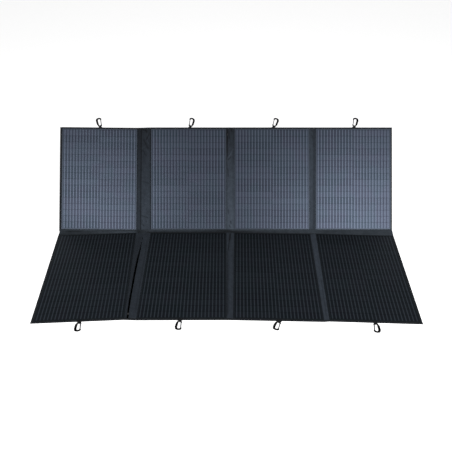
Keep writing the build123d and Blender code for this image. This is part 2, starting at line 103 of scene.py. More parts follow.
def make_active(piece: Piece) -> None:
    """Select one object alone and make it the active one.

    Args:
        piece: the object.
    """
    deselect_all()
    piece.select_set(True)
    bpy.context.view_layer.objects.active = piece


def edit(piece: Piece) -> None:
    """Open one object's mesh, with all of it selected.

    Args:
        piece: the object.
    """
    make_active(piece)
    bpy.ops.object.mode_set(mode="EDIT")
    bpy.ops.mesh.select_all(action="SELECT")


def close() -> None:
    """Leave the open mesh."""
    bpy.ops.object.mode_set(mode="OBJECT")


def link(name: str, data: bpy.types.ID) -> Piece:
    """Put data in the scene as an object.

    Args:
        name: the object's name.
        data: its mesh, light or camera.

    Returns:
        The object.
    """
    piece = bpy.data.objects.new(name, data)
    bpy.context.scene.collection.objects.link(piece)
    return piece


def copy_node(node: str, name: str) -> Piece:
    """Start a piece from a copy of a CAD node's mesh.

    Args:
        node: the node.
        name: the piece's name.

    Returns:
        The piece.
    """
    deselect_all()
    piece = link(name, frame["nodes"][node].data.copy())
    piece.data.name = name
    return piece


def smooth(piece: Piece, angle: float) -> None:
    """Shade a piece smooth, keeping edges sharper than an angle in degrees."""
    make_active(piece)
    bpy.ops.object.shade_smooth_by_angle(angle=math.radians(angle))


def dress(piece: Piece, finish: "Finish") -> None:
    """Give a piece or a CAD node one finish."""
    piece.data.materials.clear()
    piece.data.materials.append(finish.material())


def dress_nodes(finish: "Finish", *names: str) -> None:
    """Give CAD nodes one finish."""
    for name in names:
        dress(frame["nodes"][name], finish)


def joint(name: str) -> dict:
    """Find a joint of the frame."""
    return next(j for j in frame["joints"] if j["name"] == name)


def ease(x: float) -> float:
    """Ease from 0 to 1 as x goes from 0 to 1."""
    x = min(1.0, max(0.0, x))
    return x * x * (3 - 2 * x)


def wander(x: float, y: float, z: float, seed: Vector = Vector()) -> float:
    """Smooth noise at a place, about -1 to 1."""
    return noise.noise(Vector((x, y, z)) + seed)


# --- finishes ---


class Nodes:
    """Adds nodes to one tree. What feeds a node is a value or another node's output."""

    def __init__(self, tree: bpy.types.NodeTree) -> None:
        """Start with the tree empty."""
        self.tree = tree
        tree.nodes.clear()

    def add(self, kind: str, inputs: Optional[dict] = None, **settings: object) -> bpy.types.Node:
        """Add one node.

        Args:
            kind: the node's type name, after ShaderNode.
            inputs: a socket's name or number to what feeds it.
            **settings: the node's own properties.

        Returns:
            The new node.
        """
        node = self.tree.nodes.new("ShaderNode" + kind)
        for name, value in settings.items():
            setattr(node, name, value)
        for key, value in (inputs or {}).items():
            if isinstance(value, Socket):
                self.tree.links.new(value, node.inputs[key])
            else:
                node.inputs[key].default_value = value
        return node

    def place(self) -> Socket:
        """Where a point is on its piece, in metres."""
        return self.add("TexCoord").outputs["Object"]

    def noise(self, place: Socket, size_mm: float, detail: float, **inputs: float) -> Socket:
        """Cloudy noise with spots of about a size."""
        inputs.update({"Vector": place, "Scale": 1 / (size_mm * MM), "Detail": detail})
        return self.add("TexNoise", inputs).outputs["Fac"]

    def ribs(self, place: Socket, pitch_mm: float, direction: str) -> Socket:
        """Even waves across a direction."""
        return self.add("TexWave", {"Vector": place, "Scale": math.pi / (10 * pitch_mm * MM)},
                        bands_direction=direction).outputs["Fac"]

    def calc(self, operation: str, a: Feed, b: Feed = 0.0) -> Socket:
        """Arithmetic on two numbers."""
        return self.add("Math", {0: a, 1: b}, operation=operation).outputs["Value"]

    def ramp(self, value: Feed, start: float, end: float, low: float = 0.0, high: float = 1.0,
             curve: str = "LINEAR") -> Socket:
        """Go from low to high as a value goes from start to end."""
        return self.add("MapRange", {
            "Value": value, "From Min": start, "From Max": end, "To Min": low, "To Max": high,
        }, interpolation_type=curve).outputs["Result"]

    def mix(self, factor: Feed, a: Feed, b: Feed) -> Socket:
        """Blend two colours."""
        return self.add("Mix", {"Factor": factor, "A": a, "B": b},
                        data_type="RGBA").outputs["Result"]

    def times(self, colour: Feed, other: Feed) -> Socket:
        """Multiply two colours."""
        return self.add("VectorMath", {0: colour, 1: other}, operation="MULTIPLY").outputs["Vector"]

    def scaled(self, colour: Feed, share: Feed) -> Socket:
        """Multiply a colour by a number."""
        return self.add("VectorMath", {0: colour, "Scale": share}, operation="SCALE").outputs["Vector"]

    def bump(self, height: Socket, depth_mm: float, strength: float = 1.0) -> Socket:
        """Relief of a depth."""
        return self.add("Bump", {"Strength": strength, "Distance": depth_mm * MM,
                                 "Height": height}).outputs["Normal"]

    def shader(self, colour: Feed, roughness: Feed, **inputs: Feed) -> bpy.types.Node:
        """Principled shader. Underscores in the other inputs' names stand for spaces."""
        named = {name.replace("_", " "): value for name, value in inputs.items()}
        return self.add("BsdfPrincipled", {"Base Color": colour, "Roughness": roughness, **named})

    def to_the_eye(self) -> Socket:
        """1 for a ray from the camera, a reflection or a pane, 0 for one that lights things."""
        path = self.add("LightPath").outputs
        seen = self.calc("MAXIMUM", path["Is Camera Ray"], path["Is Glossy Ray"])
        return self.calc("MAXIMUM", seen, path["Is Transmission Ray"])


@dataclass(frozen=True)
class Finish:
    """What every finish has: a name and a way to make its material."""

    name: str

    def shader(self, nodes: Nodes) -> bpy.types.Node:
        """Build the nodes and return the Principled shader."""
        raise NotImplementedError

    def material(self) -> bpy.types.Material:
        """Make the material, once.

        Returns:
            The material.
        """
        made = bpy.data.materials.get(self.name)
        if not made:
            made = bpy.data.materials.new(self.name)
            made.use_nodes = True
            nodes = Nodes(made.node_tree)
            nodes.add("OutputMaterial", {"Surface": self.shader(nodes).outputs["BSDF"]})
        return made


@dataclass(frozen=True)
class WovenCloth(Finish):
    """Plain-woven polyester: matt, with faint mottling where it has been creased and handled.

    Threads run at about two to the millimetre, too fine to show, so the weave is drawn at weave_mm.
    """

    colour: str
    worn: str
    roughness: float = 0.9
    specular: float = 0.12
    weave_mm: float = 1.6
    weave_depth_mm: float = 0.10
    mottle_mm: float = 28.0

    def shader(self, nodes: Nodes) -> bpy.types.Node:
        """Weave in bump; mottling, and the tone attribute's painted light and shade, in colour.

        Args:
            nodes: what adds the material's nodes.

        Returns:
            The Principled shader.
        """
        place = nodes.add("UVMap", uv_map="cloth").outputs["UV"]
        weave = nodes.calc("MULTIPLY", *(nodes.ribs(place, self.weave_mm, axis) for axis in "XY"))
        mottle = nodes.noise(place, self.mottle_mm, 6.0, Roughness=0.62)
        colour = nodes.mix(nodes.ramp(mottle, 0.35, 0.72), linear(self.colour), linear(self.worn))
        # The tone attribute is mostly painted light and shade: lit ridges and crests, shaded creases, gaps
        # and hollows.
        tone = nodes.add("Attribute", attribute_name="tone").outputs["Fac"]
        return nodes.shader(nodes.scaled(colour, tone), self.roughness, Specular_IOR_Level=self.specular,
                            Normal=nodes.bump(weave, self.weave_depth_mm))


@dataclass(frozen=True)
class RibbedTape(Finish):
    """Woven edge tape: cross ribs about a millimetre apart, drawn at rib_mm, with a low sheen."""

    colour: str = "#1b1d20"
    worn: str = "#25282c"
    roughness: float = 0.9
    specular: float = 0.08
    rib_mm: float = 2.2
    rib_depth_mm: float = 0.12

    def shader(self, nodes: Nodes) -> bpy.types.Node:
        """Slanting ribs, so that they cross the tape on every side of the blanket.

        Args:
            nodes: what adds the material's nodes.

        Returns:
            The Principled shader.
        """
        place = nodes.place()
        worn = nodes.ramp(nodes.noise(place, 18, 5.0), 0.4, 0.75)
        return nodes.shader(nodes.mix(worn, linear(self.colour), linear(self.worn)), self.roughness,
                            Specular_IOR_Level=self.specular,
                            Normal=nodes.bump(nodes.ribs(place, self.rib_mm, "DIAGONAL"), self.rib_depth_mm))


@dataclass(frozen=True)
class SolarLaminate(Finish):
    """Coated cell strips with tinned ribbons, under a clear film whose fine grain spreads the gloss.

    Each strip is a sixth of a square cell, with twelve ribbons. A ribbon is a millimetre wide and a
    gap between strips is under one, both too fine to show, so they are drawn at ribbon_mm and gap_mm
    and are that much fainter. The coating and the ribbons gloss square-on and dull as they turn away.
    """

    centre: tuple[float, ...] = (0.0, 0.0, 0.0)
    turn: tuple[float, ...] = (0.0, 0.0, 0.0)
    strip_mm: tuple[float, float] = (210.0, 35.5)
    rows: int = 16
    ribbons: int = 12
    ribbon_mm: float = 5.4
    gap_mm: float = 3.4
    edge_mm: float = 2.2             # how softly a drawn ribbon or gap ends
    column_shift_mm: float = 2.2     # how much lower the right column of strips lies
    cell: str = "#252a32"
    cell_light: str = "#2b3039"
    ribbon: str = "#3e444f"
    margin: str = "#2e333b"
    gap_share: float = 0.30          # how much a drawn gap darkens what it crosses
    green_drift: float = 0.035       # how far patches of cells drift to green or to pink
    dull_cell: tuple[float, ...] = (0.395, 0.407, 0.372)   # left of the gloss once turned away
    dull_ribbon: tuple[float, ...] = (0.52, 0.54, 0.50)
    roughness: float = 0.42

    def shader(self, nodes: Nodes) -> bpy.types.Node:
        """Ribbons, gaps and strip to strip variation, from the panel's own plane coordinates.

        Args:
            nodes: what adds the material's nodes.

        Returns:
            The Principled shader.
        """
        calc, mix = nodes.calc, nodes.mix
        place = nodes.place()
        local = nodes.add("Mapping", {"Vector": place, "Location": self.centre, "Rotation": self.turn},
                          vector_type="TEXTURE")
        axes = nodes.add("SeparateXYZ", {"Vector": local.outputs["Vector"]}).outputs
        across, up = axes["X"], axes["Y"]

        def off_line(steps: Feed, pitch: float) -> Socket:
            """Millimetres to the nearest line of a pitch."""
            away = calc("ABSOLUTE", calc("SUBTRACT", calc("FRACT", steps), 0.5))
            return calc("MULTIPLY", away, pitch)

        def line(away: Feed, width: float, share: float) -> Socket:
            """Draw lines of a width with soft edges."""
            soft = self.edge_mm / 2
            return nodes.ramp(away, width / 2 - soft, width / 2 + soft, share, 0.0, "SMOOTHSTEP")

        pitch = self.strip_mm[0] / self.ribbons
        steps = calc("ADD", calc("DIVIDE", across, pitch * MM), 100.0)
        ribbon = line(off_line(steps, pitch), self.ribbon_mm, 1.0)
        right_side = calc("GREATER_THAN", across, 0.0)
        shifted = calc("ADD", up, calc("MULTIPLY", right_side, self.column_shift_mm * MM))
        row = calc("ADD", calc("DIVIDE", shifted, self.strip_mm[1] * MM), 100.0)
        gap = line(off_line(calc("ADD", row, 0.5), self.strip_mm[1]), self.gap_mm, self.gap_share)
        half_width = self.strip_mm[0] * MM
        half_height = self.rows * self.strip_mm[1] * MM / 2
        inside = calc("MULTIPLY", calc("LESS_THAN", calc("ABSOLUTE", across), half_width),
                      calc("LESS_THAN", calc("ABSOLUTE", up), half_height + MM))
        strip = nodes.add("CombineXYZ", {
            "X": calc("FLOOR", calc("DIVIDE", across, half_width)), "Y": calc("FLOOR", row),
            "Z": self.centre[0] + self.centre[1]})
        chance = nodes.add("TexWhiteNoise", {"Vector": strip.outputs["Vector"]}).outputs["Value"]
        drift = nodes.ramp(nodes.noise(place, 90, 2.0), 0.38, 0.62, curve="SMOOTHSTEP")
        cell = nodes.times(mix(chance, linear(self.cell), linear(self.cell_light)),
                           mix(drift, (1 + self.green_drift, 1 - self.green_drift, 1.0, 1.0),
                               (1 - self.green_drift, 1 + self.green_drift / 2, 1.0, 1.0)))
        facing = nodes.add("LayerWeight", {"Blend": 0.5}).outputs["Facing"]
        turned = nodes.ramp(facing, 0.09, 0.18, curve="SMOOTHSTEP")

        def glossed(colour: Feed, dull: tuple[float, ...]) -> Socket:
            """Dull a colour as it turns away."""
            return nodes.times(colour, mix(turned, (1.0, 1.0, 1.0, 1.0), (*dull, 1.0)))

        cells = glossed(cell, self.dull_cell)
        ribbons = glossed(linear(self.ribbon)[:3], self.dull_ribbon)
        margins = glossed(linear(self.margin)[:3], self.dull_cell)
        crossed = nodes.scaled(mix(ribbon, cells, ribbons), calc("SUBTRACT", 1.0, gap))
        return nodes.shader(mix(inside, margins, crossed), self.roughness, Metallic=1.0)


@dataclass(frozen=True)
class AnodisedAluminium(Finish):
    """Black-dyed anodised aluminium bar: a satin oxide skin, rubbed a little lighter in patches."""

    colour: str
    rubbed: str
    metallic: float = 0.3
    roughness: float = 0.5
    specular: float = 0.15

    def shader(self, nodes: Nodes) -> bpy.types.Node:
        """Rubbed patches in colour and roughness.

        Args:
            nodes: what adds the material's nodes.

        Returns:
            The Principled shader.
        """
        wear = nodes.noise(nodes.place(), 6, 4.0)
        colour = nodes.mix(nodes.ramp(wear, 0.5, 0.8), linear(self.colour), linear(self.rubbed))
        rough = nodes.ramp(wear, 0.0, 1.0, self.roughness + 0.08, self.roughness - 0.1)
        return nodes.shader(colour, rough, Metallic=self.metallic, Specular_IOR_Level=self.specular)


@dataclass(frozen=True)
class PlatedSteel(Finish):
    """Zinc-plated steel rivet: grey and slightly cloudy."""

    colour: str = "#8a8c90"
    cloud: str = "#a7a9ad"
    roughness: float = 0.36

    def shader(self, nodes: Nodes) -> bpy.types.Node:
        """Cloudy plating.

        Args:
            nodes: what adds the material's nodes.

        Returns:
            The Principled shader.
        """
        cloud = nodes.noise(nodes.place(), 1.5, 3.0)
        rough = nodes.ramp(cloud, 0.0, 1.0, self.roughness - 0.06, self.roughness + 0.1)
        return nodes.shader(nodes.mix(cloud, linear(self.colour), linear(self.cloud)), rough, Metallic=1.0)


@dataclass(frozen=True)
class MouldedPlastic(Finish):
    """Injection-moulded nylon or ABS with a spark-eroded grain, drawn at grain_mm."""

    colour: str = "#1d1e20"
    roughness: float = 0.55
    specular: float = 0.4
    grain_mm: float = 0.8
    grain_depth_mm: float = 0.05

    def shader(self, nodes: Nodes) -> bpy.types.Node:
        """Grain in bump and a little in roughness.

        Args:
            nodes: what adds the material's nodes.

        Returns:
            The Principled shader.
        """
        place = nodes.place()
        handled = nodes.noise(place, 25, 3.0)
        base = linear(self.colour)
        lighter = tuple(min(1.0, c * 1.5) for c in base[:3]) + (1.0,)
        rough = nodes.ramp(handled, 0.0, 1.0, self.roughness - 0.08, self.roughness + 0.12)
        grain = nodes.noise(place, self.grain_mm, 3.0)
        return nodes.shader(nodes.mix(handled, base, lighter), rough, Specular_IOR_Level=self.specular,
                            Normal=nodes.bump(grain, self.grain_depth_mm, 0.6))


SEAM_CLOTH = WovenCloth("woven_polyester_seam", "#2e343c", "#383f48")
FOLD_CLOTH = WovenCloth("woven_polyester_fold", "#2e343a", "#383e45")
BACK_CLOTH = WovenCloth("woven_polyester_back", "#212427", "#2b2e32", mottle_mm=45.0)
# Near-black painted shadow for the floor of the open crease; no such cloth is there.
CREASE_PAINTED_SHADOW = WovenCloth("painted_shadow_in_crease", "#030303", "#050505", specular=0.0)
EDGE_TAPE = RibbedTape("ribbed_edge_tape")
WEBBING = RibbedTape("nylon_webbing", "#17181a", "#242527", rib_mm=1.8, rib_depth_mm=0.2)
THREAD = RibbedTape("sewing_thread", "#2c2d30", "#3a3b3f", rib_mm=0.8, rib_depth_mm=0.05)
HOOK_METAL = AnodisedAluminium("anodised_aluminium_bar", "#050506", "#0a0b0c", 0.0, 0.7, 0.02)
GATE_METAL = AnodisedAluminium("anodised_aluminium_gate", "#202226", "#33363b")
LEG_METAL = AnodisedAluminium("anodised_aluminium_tube", "#202124", "#2c2e31", 0.6, 0.42, 0.3)
PLATING = PlatedSteel("zinc_plated_steel")
NYLON = MouldedPlastic("moulded_nylon_bracket")
BOX_SHELL = MouldedPlastic("moulded_abs_box", "#1b1c1e", 0.5)
SOCKET_SHELL = MouldedPlastic("moulded_nylon_socket", "#26272a", 0.45)
FOOT_RUBBER = MouldedPlastic("moulded_rubber_foot", "#161617", 0.8, 0.25)
BOARD_STOCK = MouldedPlastic("pressed_fibre_board", "#2a2826", 0.9, 0.2)
LEAD_JACKET = MouldedPlastic("pvc_lead_jacket", "#131314", 0.5)


# --- the rows' planes ---


class RowName(Enum):
    """The two rows of the blanket."""

    LOWER = "lower"
    UPPER = "upper"


@dataclass
class RowPlane:
    """One row's plane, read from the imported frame.

    A place in a row is across, out and height: across along X, out from the fold line, and height
    above the row's back face. Each panel has two edges, from its fold end to its outer end.
    """

    row: RowName
    edges: list[Run] = field(default_factory=list)

    def __post_init__(self) -> None:
        """Read the fold line, the lean and the panels' edges."""
        fold = joint("row_fold")
        raised = self.row is RowName.UPPER
        self.name = self.row.value
        self.body = self.name + "_row"
        self.fold_point = Vector(fold["pos_m"])
        self.axis_height = self.fold_point.z
        self.lean = math.radians(-fold["range_deg"][0]) if raised else 0.0
        self.way = 1 if raised else -1
        self.normal = Vector((0, -math.sin(self.lean), math.cos(self.lean)))
        self.outward = Vector((0, self.way * math.cos(self.lean), self.way * math.sin(self.lean)))
        for number in range(1, COLUMNS + 1):
            fold_left, fold_right, outer_left, outer_right = self.panel_corners(number)
            self.edges += [(fold_left, outer_left), (fold_right, outer_right)]
        self.half_width = max(abs(corner.x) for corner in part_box(self.name + "_back_cloth"))

    def local(self, point: Vector) -> Vector:
        """Across, out and height of a point in the row frame."""
        away = point - self.fold_point
        return Vector((away.x, away.dot(self.outward), away.dot(self.normal) + self.axis_height))

    def at(self, across: float, out: float, height: float) -> Vector:
        """Point in the row frame of a place across, out and above the back face."""
        return (self.fold_point + Vector((across, 0, 0)) + self.outward * out
                + self.normal * (height - self.axis_height))

    def panel_corners(self, number: int) -> list[Vector]:
        """Find the top corners of a laminate.

        Args:
            number: the panel, from 1 at the left.

        Returns:
            Fold left, fold right, outer left and outer right, in row coordinates.
        """
        mesh = frame["nodes"][f"{self.name}_laminate_{number}"].data
        places = [self.local(v.co) for v in mesh.vertices]
        top = max(p.z for p in places)
        upper_face = [p for p in places if p.z > top - 0.2 * MM]
        middle_out = sum(p.y for p in upper_face) / len(upper_face)
        corners = []
        for near in (True, False):
            side = [p for p in upper_face if (p.y < middle_out) == near]
            corners += [min(side, key=lambda p: p.x), max(side, key=lambda p: p.x)]
        return corners

    def fold_reach(self, across: float) -> float:
        """How far the panels' fold ends are from the fold line at a place across, in metres."""
        return float(np.interp(across, [e[0].x for e in self.edges], [e[0].y for e in self.edges]))

    def edge_place(self, index: int, along: float) -> Vector:
        """Place on an edge line, 0 at the fold end of the panel and 1 at its outer end."""
        return self.edges[index][0].lerp(self.edges[index][1], along)


# --- sheets of cloth ---


def cloth_sheet(name: str, finish: Finish, cuts: tuple[int, int], flat: tuple[float, float], lie: Lie,
                face: Vector, thickness: float) -> Piece:
    """Make a sheet of cloth: a grid whose points are moved one by one, given a thickness.

    Args:
        name: the piece's name.
        finish: the cloth's finish.
        cuts: faces across and along.
        flat: the cut size, across and along, which the weave follows.
        lie: from 0 to 1 across and along, to the point and the cloth's tone there.
        face: the way that the cloth's good side looks.
        thickness: the cloth's thickness, added behind its good side.

    Returns:
        The finished sheet.
    """
    deselect_all()
    bpy.ops.mesh.primitive_grid_add(x_subdivisions=cuts[0], y_subdivisions=cuts[1], size=1.0,
                                    location=(0, 0, 0))
    sheet = bpy.context.object
    mesh = sheet.data
    sheet.name = mesh.name = name
    tones = np.ones(len(mesh.vertices), np.float32)
    for vertex in mesh.vertices:
        vertex.co, tones[vertex.index] = lie(vertex.co.x + 0.5, vertex.co.y + 0.5)
    mesh.attributes.new("tone", "FLOAT", "POINT").data.foreach_set("value", tones)
    mesh.uv_layers[0].name = "cloth"
    for corner in mesh.uv_layers["cloth"].data:
        corner.uv = (corner.uv[0] * flat[0], corner.uv[1] * flat[1])
    mesh.update()
    looks = sum((p.normal * p.area for p in mesh.polygons), Vector())
    if looks.dot(face) < 0:
        edit(sheet)
        bpy.ops.mesh.flip_normals()
        close()
    make_active(sheet)
    solid = sheet.modifiers.new("Solidify", "SOLIDIFY")
    solid.thickness, solid.offset, solid.use_even_offset = thickness, -1.0, False
    bpy.ops.object.modifier_apply(modifier=solid.name)
    smooth(sheet, 60.0)
    dress(sheet, finish)
    return sheet


@dataclass(frozen=True)
class Crease:
    """A ridge or valley in a cloth strip. Places are across and along, 0 to 1."""

    start: tuple[float, float]
    end: tuple[float, float]
    height: float          # millimetres, below 0 for a valley
    width: float           # millimetres from its middle to where it has mostly gone
    tone: float = 1.0      # painted light or shade along it, mostly lighter on ridges and darker in valleys

    def weight(self, across: float, along: float, size: tuple[float, float]) -> float:
        """How strongly the crease acts at a place, from 0 to 1.

        Args:
            across: place across the strip, 0 to 1.
            along: place along the strip, 0 to 1.
            size: the strip's width and length in metres.

        Returns:
            The crease's weight there.
        """
        a, b, p = (Vector((x * size[0], y * size[1])) for x, y in (self.start, self.end, (across, along)))
        run = b - a
        share = min(1.0, max(0.0, (p - a).dot(run) / max(run.length_squared, 1e-9)))
        away = (p - (a + run * share)).length / (self.width * MM)
        # Faint at its ends, and whole from a twelfth of the way in.
        return math.exp(-away * away) * ease(min(share, 1 - share) * 8 + 0.35)


@dataclass(frozen=True)
class Band:
    """A lengthwise band of a cloth strip painted darker or lighter, as painted shade such as the shadow gap
    along a panel's edge.
    """

    start: float
    end: float
    tone: float
    height: float = 0.0    # millimetres

    def inside(self, across: float, soft: float = 0.02) -> float:
        """1 inside the band and 0 outside it, with soft edges."""
        return ease((across - self.start) / soft + 0.5) * ease((self.end - across) / soft + 0.5)


@dataclass(frozen=True)
class SeamLook:
    """How one seam between two panels lies. Its tones, painted light and shade, run from the fold end to the
    outer end.

    An open crease, if any, is given from the fold end to the outer end: the share of the way across
    to its middle, and its width in millimetres.
    """

    crown: float
    wrinkle: float
    tones: tuple[float, ...]
    bands: tuple[Band, ...] = ()
    creases: tuple[Crease, ...] = ()
    gape: tuple[tuple[float, float], ...] = ()

    def tone(self, along: float) -> float:
        """How light the cloth is painted at a place along the seam, as painted light and shade."""
        return float(np.interp(along, np.linspace(0, 1, len(self.tones)), self.tones))

    def gape_at(self, along: float) -> tuple[float, float]:
        """Read the open crease at a place along the seam.

        Args:
            along: the place, 0 to 1.

        Returns:
            Share across to its middle, and its width in metres.
        """
        stops = np.linspace(0, 1, len(self.gape))
        middle, width = (float(np.interp(along, stops, column)) for column in zip(*self.gape))
        return middle, width * MM


# The tones, bands and creases below are painted light and shade; the upper seams are painted lighter at their
# fold ends, at the bottom, and darker towards the top.
UPPER_SEAMS: tuple[SeamLook, ...] = (
    SeamLook(crown=1.6, wrinkle=0.8, tones=(0.90, 0.84, 0.65, 0.46, 0.32), bands=(
        Band(0.0, 0.06, 0.45), Band(0.06, 0.27, 0.70, 0.8), Band(0.27, 0.335, 0.28, -0.6),
        Band(0.90, 1.0, 0.55, -0.5),
    ), creases=(
        Crease((0.36, 0.995), (0.66, 0.985), 1.4, 3.0, 0.30),
        Crease((0.58, 1.0), (0.70, 0.955), -1.6, 3.0, 0.35),
        Crease((0.66, 0.97), (0.88, 0.90), 2.2, 4.0, 1.45),
        Crease((0.88, 0.96), (0.62, 0.885), -2.0, 3.0, 0.45),
        Crease((0.50, 0.93), (0.86, 0.845), 1.8, 4.0, 1.35),
        Crease((0.44, 0.90), (0.80, 0.80), -1.8, 3.0, 0.50),
        Crease((0.48, 0.83), (0.82, 0.76), 1.6, 4.0, 1.30),
        Crease((0.42, 0.79), (0.66, 0.73), -1.4, 3.0, 0.60),
        Crease((0.36, 0.48), (0.88, 0.455), -1.0, 3.0, 0.72),
        Crease((0.34, 0.14), (0.80, 0.115), -1.8, 2.6, 0.50),
        Crease((0.38, 0.02), (0.50, 0.10), 2.0, 4.0, 1.25),
        Crease((0.40, 0.055), (0.52, 0.035), -1.6, 2.2, 0.40),
        Crease((0.62, 0.085), (0.72, 0.07), -1.6, 2.2, 0.45),
    )),
    SeamLook(crown=1.8, wrinkle=0.6, tones=(1.45, 1.20, 0.98, 0.60, 0.34), bands=(
        Band(0.0, 0.08, 0.60), Band(0.10, 0.26, 0.82), Band(0.74, 0.90, 0.90, -0.4),
        Band(0.90, 1.0, 0.70),
    ), creases=(
        Crease((0.20, 0.995), (0.17, 0.86), -2.4, 3.2, 0.18),
        Crease((0.17, 0.87), (0.22, 0.72), -2.2, 2.6, 0.35),
        Crease((0.34, 0.985), (0.40, 0.90), -1.2, 3.4, 0.60),
        Crease((0.58, 1.0), (0.70, 0.97), -1.4, 3.0, 0.45),
        Crease((0.80, 0.80), (0.58, 0.755), 2.6, 4.0, 1.55),
        Crease((0.62, 0.755), (0.26, 0.715), 2.4, 4.2, 1.45),
        Crease((0.60, 0.725), (0.24, 0.690), -1.4, 2.6, 0.55),
        Crease((0.20, 0.62), (0.28, 0.52), -1.2, 3.0, 0.60),
        Crease((0.24, 0.20), (0.34, 0.155), -1.2, 2.4, 0.55),
        Crease((0.50, 0.085), (0.60, 0.055), -1.6, 2.4, 0.40),
        Crease((0.36, 0.045), (0.50, 0.02), -1.6, 2.4, 0.45),
    )),
    SeamLook(crown=1.6, wrinkle=0.4, tones=(1.05, 0.96, 0.66), bands=(
        Band(0.0, 0.08, 0.70), Band(0.52, 0.62, 0.82), Band(0.62, 0.92, 0.68), Band(0.92, 1.0, 0.50),
    ), creases=(
        Crease((0.30, 0.985), (0.60, 0.975), -1.0, 3.0, 0.50),
        Crease((0.40, 0.94), (0.52, 0.90), -1.0, 3.0, 0.75),
    )),
)
LOWER_SEAMS: tuple[SeamLook, ...] = (
    SeamLook(crown=2.4, wrinkle=0.7, tones=(0.54, 0.50),
             gape=((0.52, 0.5), (0.49, 1.0), (0.455, 8.5), (0.39, 12.0), (0.35, 13.5), (0.32, 13.0),
                   (0.30, 12.0), (0.27, 12.0), (0.265, 12.0), (0.29, 11.0)), creases=(
        Crease((0.60, 0.02), (0.72, 0.12), 1.8, 5.0, 1.12),
        Crease((0.84, 0.10), (0.80, 0.95), -1.0, 3.0, 0.70),
        Crease((0.30, 0.92), (0.70, 0.97), 1.4, 4.0, 1.1),
    )),
    SeamLook(crown=2.2, wrinkle=0.6, tones=(0.62, 0.55), bands=(
        Band(0.0, 0.10, 0.60), Band(0.90, 1.0, 0.60),
    ), creases=(
        Crease((0.50, 0.00), (0.42, 0.10), -3.0, 5.0, 0.22),
        Crease((0.40, 0.09), (0.26, 0.24), -1.8, 2.4, 0.35),
        Crease((0.22, 0.22), (0.20, 0.98), -2.0, 2.2, 0.40),
        Crease((0.55, 0.18), (0.52, 0.92), 1.6, 6.0, 1.15),
    )),
    SeamLook(crown=2.2, wrinkle=0.5, tones=(0.78, 0.72), bands=(
        Band(0.0, 0.12, 0.60), Band(0.88, 1.0, 0.60),
    ), creases=(
        Crease((0.62, 0.55), (0.50, 0.99), -0.9, 3.0, 0.7),
        Crease((0.34, 0.10), (0.40, 0.70), 0.9, 5.0, 1.12),
    )),
)


